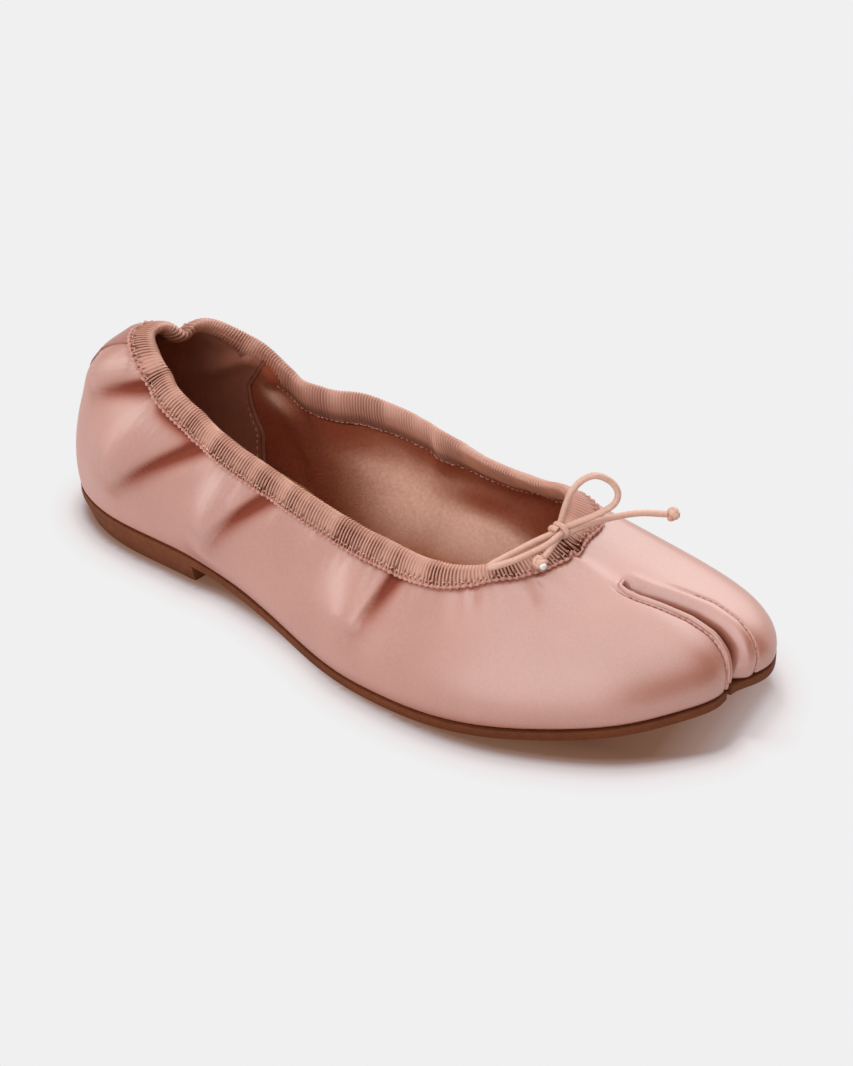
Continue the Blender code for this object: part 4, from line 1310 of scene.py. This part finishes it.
def makeLining():
    piece = liningPiece
    u = np.arange(around * piece["columns"]) / piece["columns"]
    rows = piece["rows"]
    v = np.linspace(0, 1, rows)[None] * vBelowCrest(u, piece["hidden"])[:, None]
    u = np.repeat(u[:, None], rows, axis=1)
    points = satinWall(u, v, folds + liningFolds)
    normals = gridNormals(points)
    crinkle = wavesRound(u, 8, *piece["waves"]) * smoothStep(0.3, 0.9, v)
    points = points - normals * (piece["inside"] + piece["crinkle"] * (1 + crinkle))[..., None]
    points = sagging(u, v, points, normals)
    # it stops short of the split, and under the heel's own lining
    nearSplit = (np.abs(u - 12.8) < 1.4) & (points[..., 0] > split["start"] - 10)
    underHeel = ((u > 22.4) | (u < 2.7)) & (v < 0.93)
    obj = clothSheet("lining", points, lining, piece["thick"], closed=True, leftOut=nearSplit | underHeel)
    # painted light and shade: pale where light falls on the sagging cushion of the big-toe side, dark under
    # the rim and towards the heel
    paintedLight = (1 - smoothStep(20.0, 21.7, u)) * smoothStep(0.76, 0.46, v) \
        * smoothStep(18.0, 19.3, u + 1.2 * (0.45 - v))
    for placeU, placeV, halfU, halfV, more in piece["tones"]:
        paintedLight = paintedLight + more * np.exp(-((u - placeU) / halfU) ** 2 - ((v - placeV) / halfV) ** 2)
    paint(obj, 1 - np.clip(paintedLight, 0, 1))
    finished(obj, "lining")


heelLiningPiece = {
    "rows": 40, "columns": 110, "inside": 2.2, "thick": 0.45, "top": 0.95,
    "v": (0.0, 0.25, 0.45, 0.6, 0.75, 0.95),                   # where its two front edges run, up the wall
    "inner": (22.05, 21.98, 22.14, 22.20, 22.08, 21.95), "outer": (3.10, 3.15, 2.95, 2.90, 2.98, 3.05),
    "seamRadius": 0.42,
}


def makeHeelLining():
    # the smooth heel lining lies over the other, its two front edges stitched down
    piece = heelLiningPiece
    rows, columns = piece["rows"], piece["columns"]
    v = np.linspace(0.0, piece["top"], rows)[None]
    begin, end = (np.interp(v, piece["v"], piece[side]) for side in ("inner", "outer"))
    u = begin + (end + around - begin) * np.linspace(0, 1, columns)[:, None]
    v = np.repeat(v, columns, axis=0)
    normals = wallNormals(u, v)
    points = satinWall(u, v, folds + liningFolds) - normals * piece["inside"]
    finished(clothSheet("heel_lining", points, heelLining, piece["thick"]), "lining")
    # the seam along each front edge: a dark rope, part thread and part painted shade under the edge of the
    # heel lining
    for side, k in (("inner", 1), ("outer", columns - 2)):
        line = points[k] - normals[k] * 0.3
        rope(side + "_lining_seam", "lining", edgeShadeThread, line, piece["seamRadius"], 8)
    for side, k in (("inner", 2), ("outer", columns - 3)):
        seam(side + "_lining_stitches", paleThread, points[k][:rows // 2], -normals[k][:rows // 2])


makeLining()
makeHeelLining()
print("lining made")


def gatherAt(u):
    # 0 where the ribbon lies flat, 1 where it is bunched up
    wanted = 0.42 + 0.55 * wavesRound(u, 12, *casing["gatherWaves"])
    for place, half, add in casing["gathers"]:
        wanted = wanted + add * hump(np.mod(u, around), place, half)
    return np.clip(wanted, 0.06, 1.0)


def makeCasing():
    total, zigzag = crestS[-1], stitching["casing_zigzag"][0]
    count, sides = round(total / casing["pitch"]) * casing["samples"], len(casing["section"])
    s = np.arange(count) / count * total
    phase = np.arange(count) / casing["samples"]
    u = np.interp(s, crestS, crestU)
    crest = satinWall(u, np.ones(count))
    down = satinWall(u, vBelowCrest(u, casingWidth(u))) - crest
    height = np.linalg.norm(down, axis=1)
    down = unit(down)
    along = unit(np.roll(crest, -4, 0) - np.roll(crest, 4, 0))
    normal = unit(np.cross(down, along))
    normal *= np.sign(np.sum(normal * wallNormals(u, np.full(count, 0.9)), axis=1))[:, None]
    gathered = gatherAt(u)
    throat, innerThroat = (hump(u, *casing[key], 4) for key in ("throat", "innerThroat"))
    share, lower, out = np.array(casing["section"]).T
    # lean of each rib: it starts further back at the stitched edge than at the crest
    path = runOf(np.column_stack([share * casing["width"] + lower, out]))
    lean = casing["slant"] * np.sin(path / path[-1] * math.pi * 2) * 0.5
    puff = 1 + casing["puff"] * wavesRound(u, 15, (19, 0.6), (29, 0.5))
    # inside, it reaches further down along the inner waist, and less on the outer side
    turned = np.mod(u - 3.0, around)
    deep = 1 + 0.5 * smoothStep(9.5, 11.0, turned) \
        + 0.4 * smoothStep(10.5, 11.5, turned) * smoothStep(18.9, 18.6, turned)
    rib = (casing["ribSmall"] + (casing["ribLarge"] - casing["ribSmall"]) * gathered) \
        * (1 - 0.8 * innerThroat)
    points, casingShade = np.zeros((count, sides, 3)), np.zeros((count, sides))
    for k in range(sides):
        inside, shown = k in casing["innerRows"], k in casing["shownRows"]
        a = share[k] * height + lower[k] * (deep if inside else 1)
        b = out[k] * np.where(out[k] > 0.2, puff, 1) - (0.7 * (deep - 1) if inside else 0)
        # the ribs lift it away from a line inside it
        awayA, awayB = a - np.clip(a, 1.2, None), b + 0.5
        turn = np.hypot(awayA, awayB)
        wave = 0.5 + 0.5 * np.cos(2 * math.pi * (phase + lean[k] / casing["pitch"]))
        # painted shade in each rib's groove, fainter towards the crest and inside
        paintedShade = (1 - wave) ** 2.2 * (min(0.35 + 0.1 * abs(k - 9), 0.5) if k >= 7 else 1)
        nearEdge = smoothStep(0.45, 1.0, share[k])
        pleat = throat * nearEdge * casing["pleat"] * np.sin(math.pi * phase + 0.6 * np.sin(phase * 0.7))
        lift = rib * shown * (wave - 0.5) * 1.3 + pleat
        points[:, k] = crest + down * (a + awayA / turn * lift + 0.3 * pleat * nearEdge)[:, None] \
            + normal * (b + awayB / turn * lift)[:, None]
        # painted shade: deepest in the grooves where the ribbon is bunched, in the tight pleats under the
        # bow, and a darker tone over the smooth stretch beside it
        casingShade[:, k] = paintedShade * (0.20 + 1.1 * gathered) * shown + throat * (0.12 + nearEdge * 0.6) \
            + 0.34 * innerThroat
        # painted shade in the fold at its lower inner edge
        if k in casing["foldRows"]:
            casingShade[:, k] = np.maximum(casingShade[:, k], 0.5)
        # painted shade in the needle's holes
        if k in casing["needleRows"]:
            hole = np.abs(np.mod(s / zigzag + 0.5 * (k % 2), 1) - 0.5) < 0.11
            casingShade[:, k] = np.maximum(casingShade[:, k], 0.8 * hole)
    uv = np.stack([np.repeat(s[:, None], sides, 1), np.repeat(runOf(points[0])[None], count, 0)], -1)
    obj = meshObject("ribbon_casing", points.reshape(-1, 3), gridFaces(count, sides, rolled=True), ribbon,
                     uv.reshape(-1, 2) * mm)
    paint(obj, casingShade)
    finished(obj, "ribbon", "topline_casing")

    # inside, a row of stitches along its lower edge
    seen = np.flatnonzero((u > 14.3) & (u < 21.9))
    seam("casing_inside_stitches", thread, points[seen, 17], -normal[seen])

    # a beaded edge and a zigzag of thread hold it down
    ring = np.arange(round(total / casing["beads"]) * 5)
    at = ring / len(ring) * total
    uEdge = np.interp(at, crestS, crestU)
    stitched = points[:, casing["edgeRow"]]
    edge = np.column_stack([np.interp(at, s, stitched[:, k], period=total) for k in range(3)])
    outwards = wallNormals(uEdge, vBelowCrest(uEdge, casingWidth(uEdge)))
    radius = casing["beadSize"] * (0.62 + 0.38 * np.cos(2 * math.pi * ring / 5))
    rope("picot_edge", "thread", thread, edge + outwards * 0.05, radius, 7, closed=True)
    stitches = round(total / zigzag)
    at = np.round((np.arange(stitches) + 0.5) / stitches * count).astype(int) % count
    places = points[at, 2] * 0.35 + points[at, 3] * 0.65
    side = along[at] + down[at] * (0.45 * (-1.0) ** np.arange(stitches))[:, None]
    stitchRow("casing_zigzag", lightThread, places, unit(side), normal[at])


makeCasing()
print("casing made")


sole = {
    "outline": 0.1, "sides": 320,            # mm outside the foot line, points round it
    "cut": (2.2, 202.0), "rounding": 0.55,   # the saw cut at the split: width, start
}
insole = {
    "outline": -2.6, "gap": 0.3, "cut": (10.0, 186.0), "rounding": 0.5,
    "stitchIn": -6.6,
}
heel = {
    "outline": 0.1, "points": 420, "gap": 0.4,
    "bulge": 2.2,             # how far its front bulges
    # height, share of the outline's size
    "levels": ((0.0, 0.935), (0.25, 0.95), (0.6, 0.955), (7.1, 0.998), (8.1, 1.002)),
}


def footOutline(offset, count):
    # the line where the wall meets the sole, set out by an offset
    line = closedSpline([row[:2] for row in sections], np.linspace(0, around, count, endpoint=False))
    tangent = unit(np.roll(line, -1, 0) - np.roll(line, 1, 0))
    return line + np.column_stack([tangent[:, 1], -tangent[:, 0]]) * offset


def fromBmesh(name, bm, *materials):
    for v in bm.verts:
        v.co = Vector(placed(v.co))
    mesh = bpy.data.meshes.new(name)
    bm.to_mesh(mesh)
    bm.free()
    for material in materials:
        mesh.materials.append(material)
    return linked(name, mesh)


def bentPlate(name, outline, bottom, thickness, stations, material):
    # a plate cut to an outline and bent along the shoe, with an edge across it at every station
    bm = bmesh.new()
    bm.faces.new([bm.verts.new((x, y, 0)) for x, y in outline])
    for x in stations:
        everything = bm.verts[:] + bm.edges[:] + bm.faces[:]
        bmesh.ops.bisect_plane(bm, geom=everything, dist=1e-4, plane_co=(x, 0, 0), plane_no=(1, 0, 0))
    bmesh.ops.recalc_face_normals(bm, faces=bm.faces[:])
    if bm.faces[:][0].normal.z > 0:
        bmesh.ops.reverse_faces(bm, faces=bm.faces[:])
    made = bmesh.ops.extrude_face_region(bm, geom=bm.faces[:], use_keep_orig=True)
    raised = {v for v in made["geom"] if isinstance(v, bmesh.types.BMVert)}
    for v in bm.verts:
        v.co.z = float(bottom(v.co.x)) + (thickness if v in raised else 0)
    bmesh.ops.recalc_face_normals(bm, faces=bm.faces[:])
    return fromBmesh(name, bm, material)


def splitBlade(width, start):
    # a thin block along the split, which cuts the soles
    (x0, y0), (x1, y1) = split["cutFrom"], split["cutTo"]
    a, b = Vector((start, y0 + (start - x0) * (y1 - y0) / (x1 - x0), 10)), Vector((x1, y1, 10))
    along = (b - a).normalized()
    side = Vector((-along.y, along.x, 0))
    bm = bmesh.new()
    bmesh.ops.create_cube(bm, size=1)
    for v in bm.verts:
        upwards = Vector((0, 0, v.co.z * 60))
        v.co = (a + b) / 2 + along * v.co.x * (b - a).length + side * v.co.y * width + upwards
    bmesh.ops.recalc_face_normals(bm, faces=bm.faces[:])
    return fromBmesh("blade", bm)


def cutAndRound(obj, blade, rounding):
    cut = obj.modifiers.new("cut", "BOOLEAN")
    cut.operation, cut.object = "DIFFERENCE", blade
    soften = obj.modifiers.new("soften", "BEVEL")
    soften.width, soften.segments, soften.limit_method = rounding * mm, 3, "ANGLE"
    soften.angle_limit = math.radians(50)
    obj = applyModifiers(obj)
    bpy.data.objects.remove(blade)
    obj.data.shade_smooth()
    obj.data.set_sharp_from_angle(angle=math.radians(60))
    return obj


def insoleBottom(x):
    return soleUnderside(x) + shoe["soleThickness"] + insole["gap"]


def makeSole():
    stations = list(np.linspace(shoe["heelBreast"], shoe["archEnd"], 18))
    stations += list(np.linspace(shoe["treadEnd"], shoe["toeTip"], 28, endpoint=False))
    for piece, name, node, bottom, thick, material in (
            (sole, "leather_outsole", "outsole", soleUnderside, shoe["soleThickness"], soleLeather),
            (insole, "tan_insole", "insole", insoleBottom, shoe["insoleThickness"], insoleLeather)):
        outline = footOutline(piece["outline"], sole["sides"])
        plate = bentPlate(name, outline, bottom, thick, stations, material)
        slot = "sole_leather" if piece is sole else "insole_leather"
        finished(cutAndRound(plate, splitBlade(*piece["cut"]), piece["rounding"]), slot, node)
    # a dashed line from the inner waist round the heel to the outer ball
    line = np.roll(footOutline(insole["stitchIn"], 400), -280, 0)[:250]
    line = np.column_stack([line, insoleBottom(line[:, 0]) + shoe["insoleThickness"]])
    seam("insole_stitches", paleThread, line, np.tile((0.0, 0.0, 1.0), (len(line), 1)))


def makeHeel():
    breast = shoe["heelBreast"]
    outline = [tuple(p) for p in footOutline(heel["outline"], heel["points"]) if p[0] < breast - heel["gap"]]
    outline = sorted(outline, key=lambda p: math.atan2(p[1], p[0] - breast) % (2 * math.pi))
    high, low = outline[0][1], outline[-1][1]
    # its front bulges a little, with rounded corners
    outline += [(breast + heel["bulge"] * (1 - abs(a) ** 5), (high + low) / 2 + (high - low) / 2 * a)
                for a in np.linspace(-1, 1, 25)]
    outline = np.array(outline)
    centre = np.array([breast, 0.0])
    count, levels = len(outline), len(heel["levels"])
    points = [(x, y, z) for z, share in heel["levels"] for x, y in centre + (outline - centre) * share]
    faces = gridFaces(levels, count, closed=False, rolled=True, flipped=True)
    top = (levels - 1) * count
    faces += [tuple(range(count - 1, -1, -1)), tuple(range(top, top + count))]
    obj = meshObject("stacked_heel", points, faces, heelLeather)
    obj.data.set_sharp_from_angle(angle=math.radians(40))
    return finished(obj, "heel_leather", "heel")


makeSole()
makeHeel()
print("sole, insole and heel made")
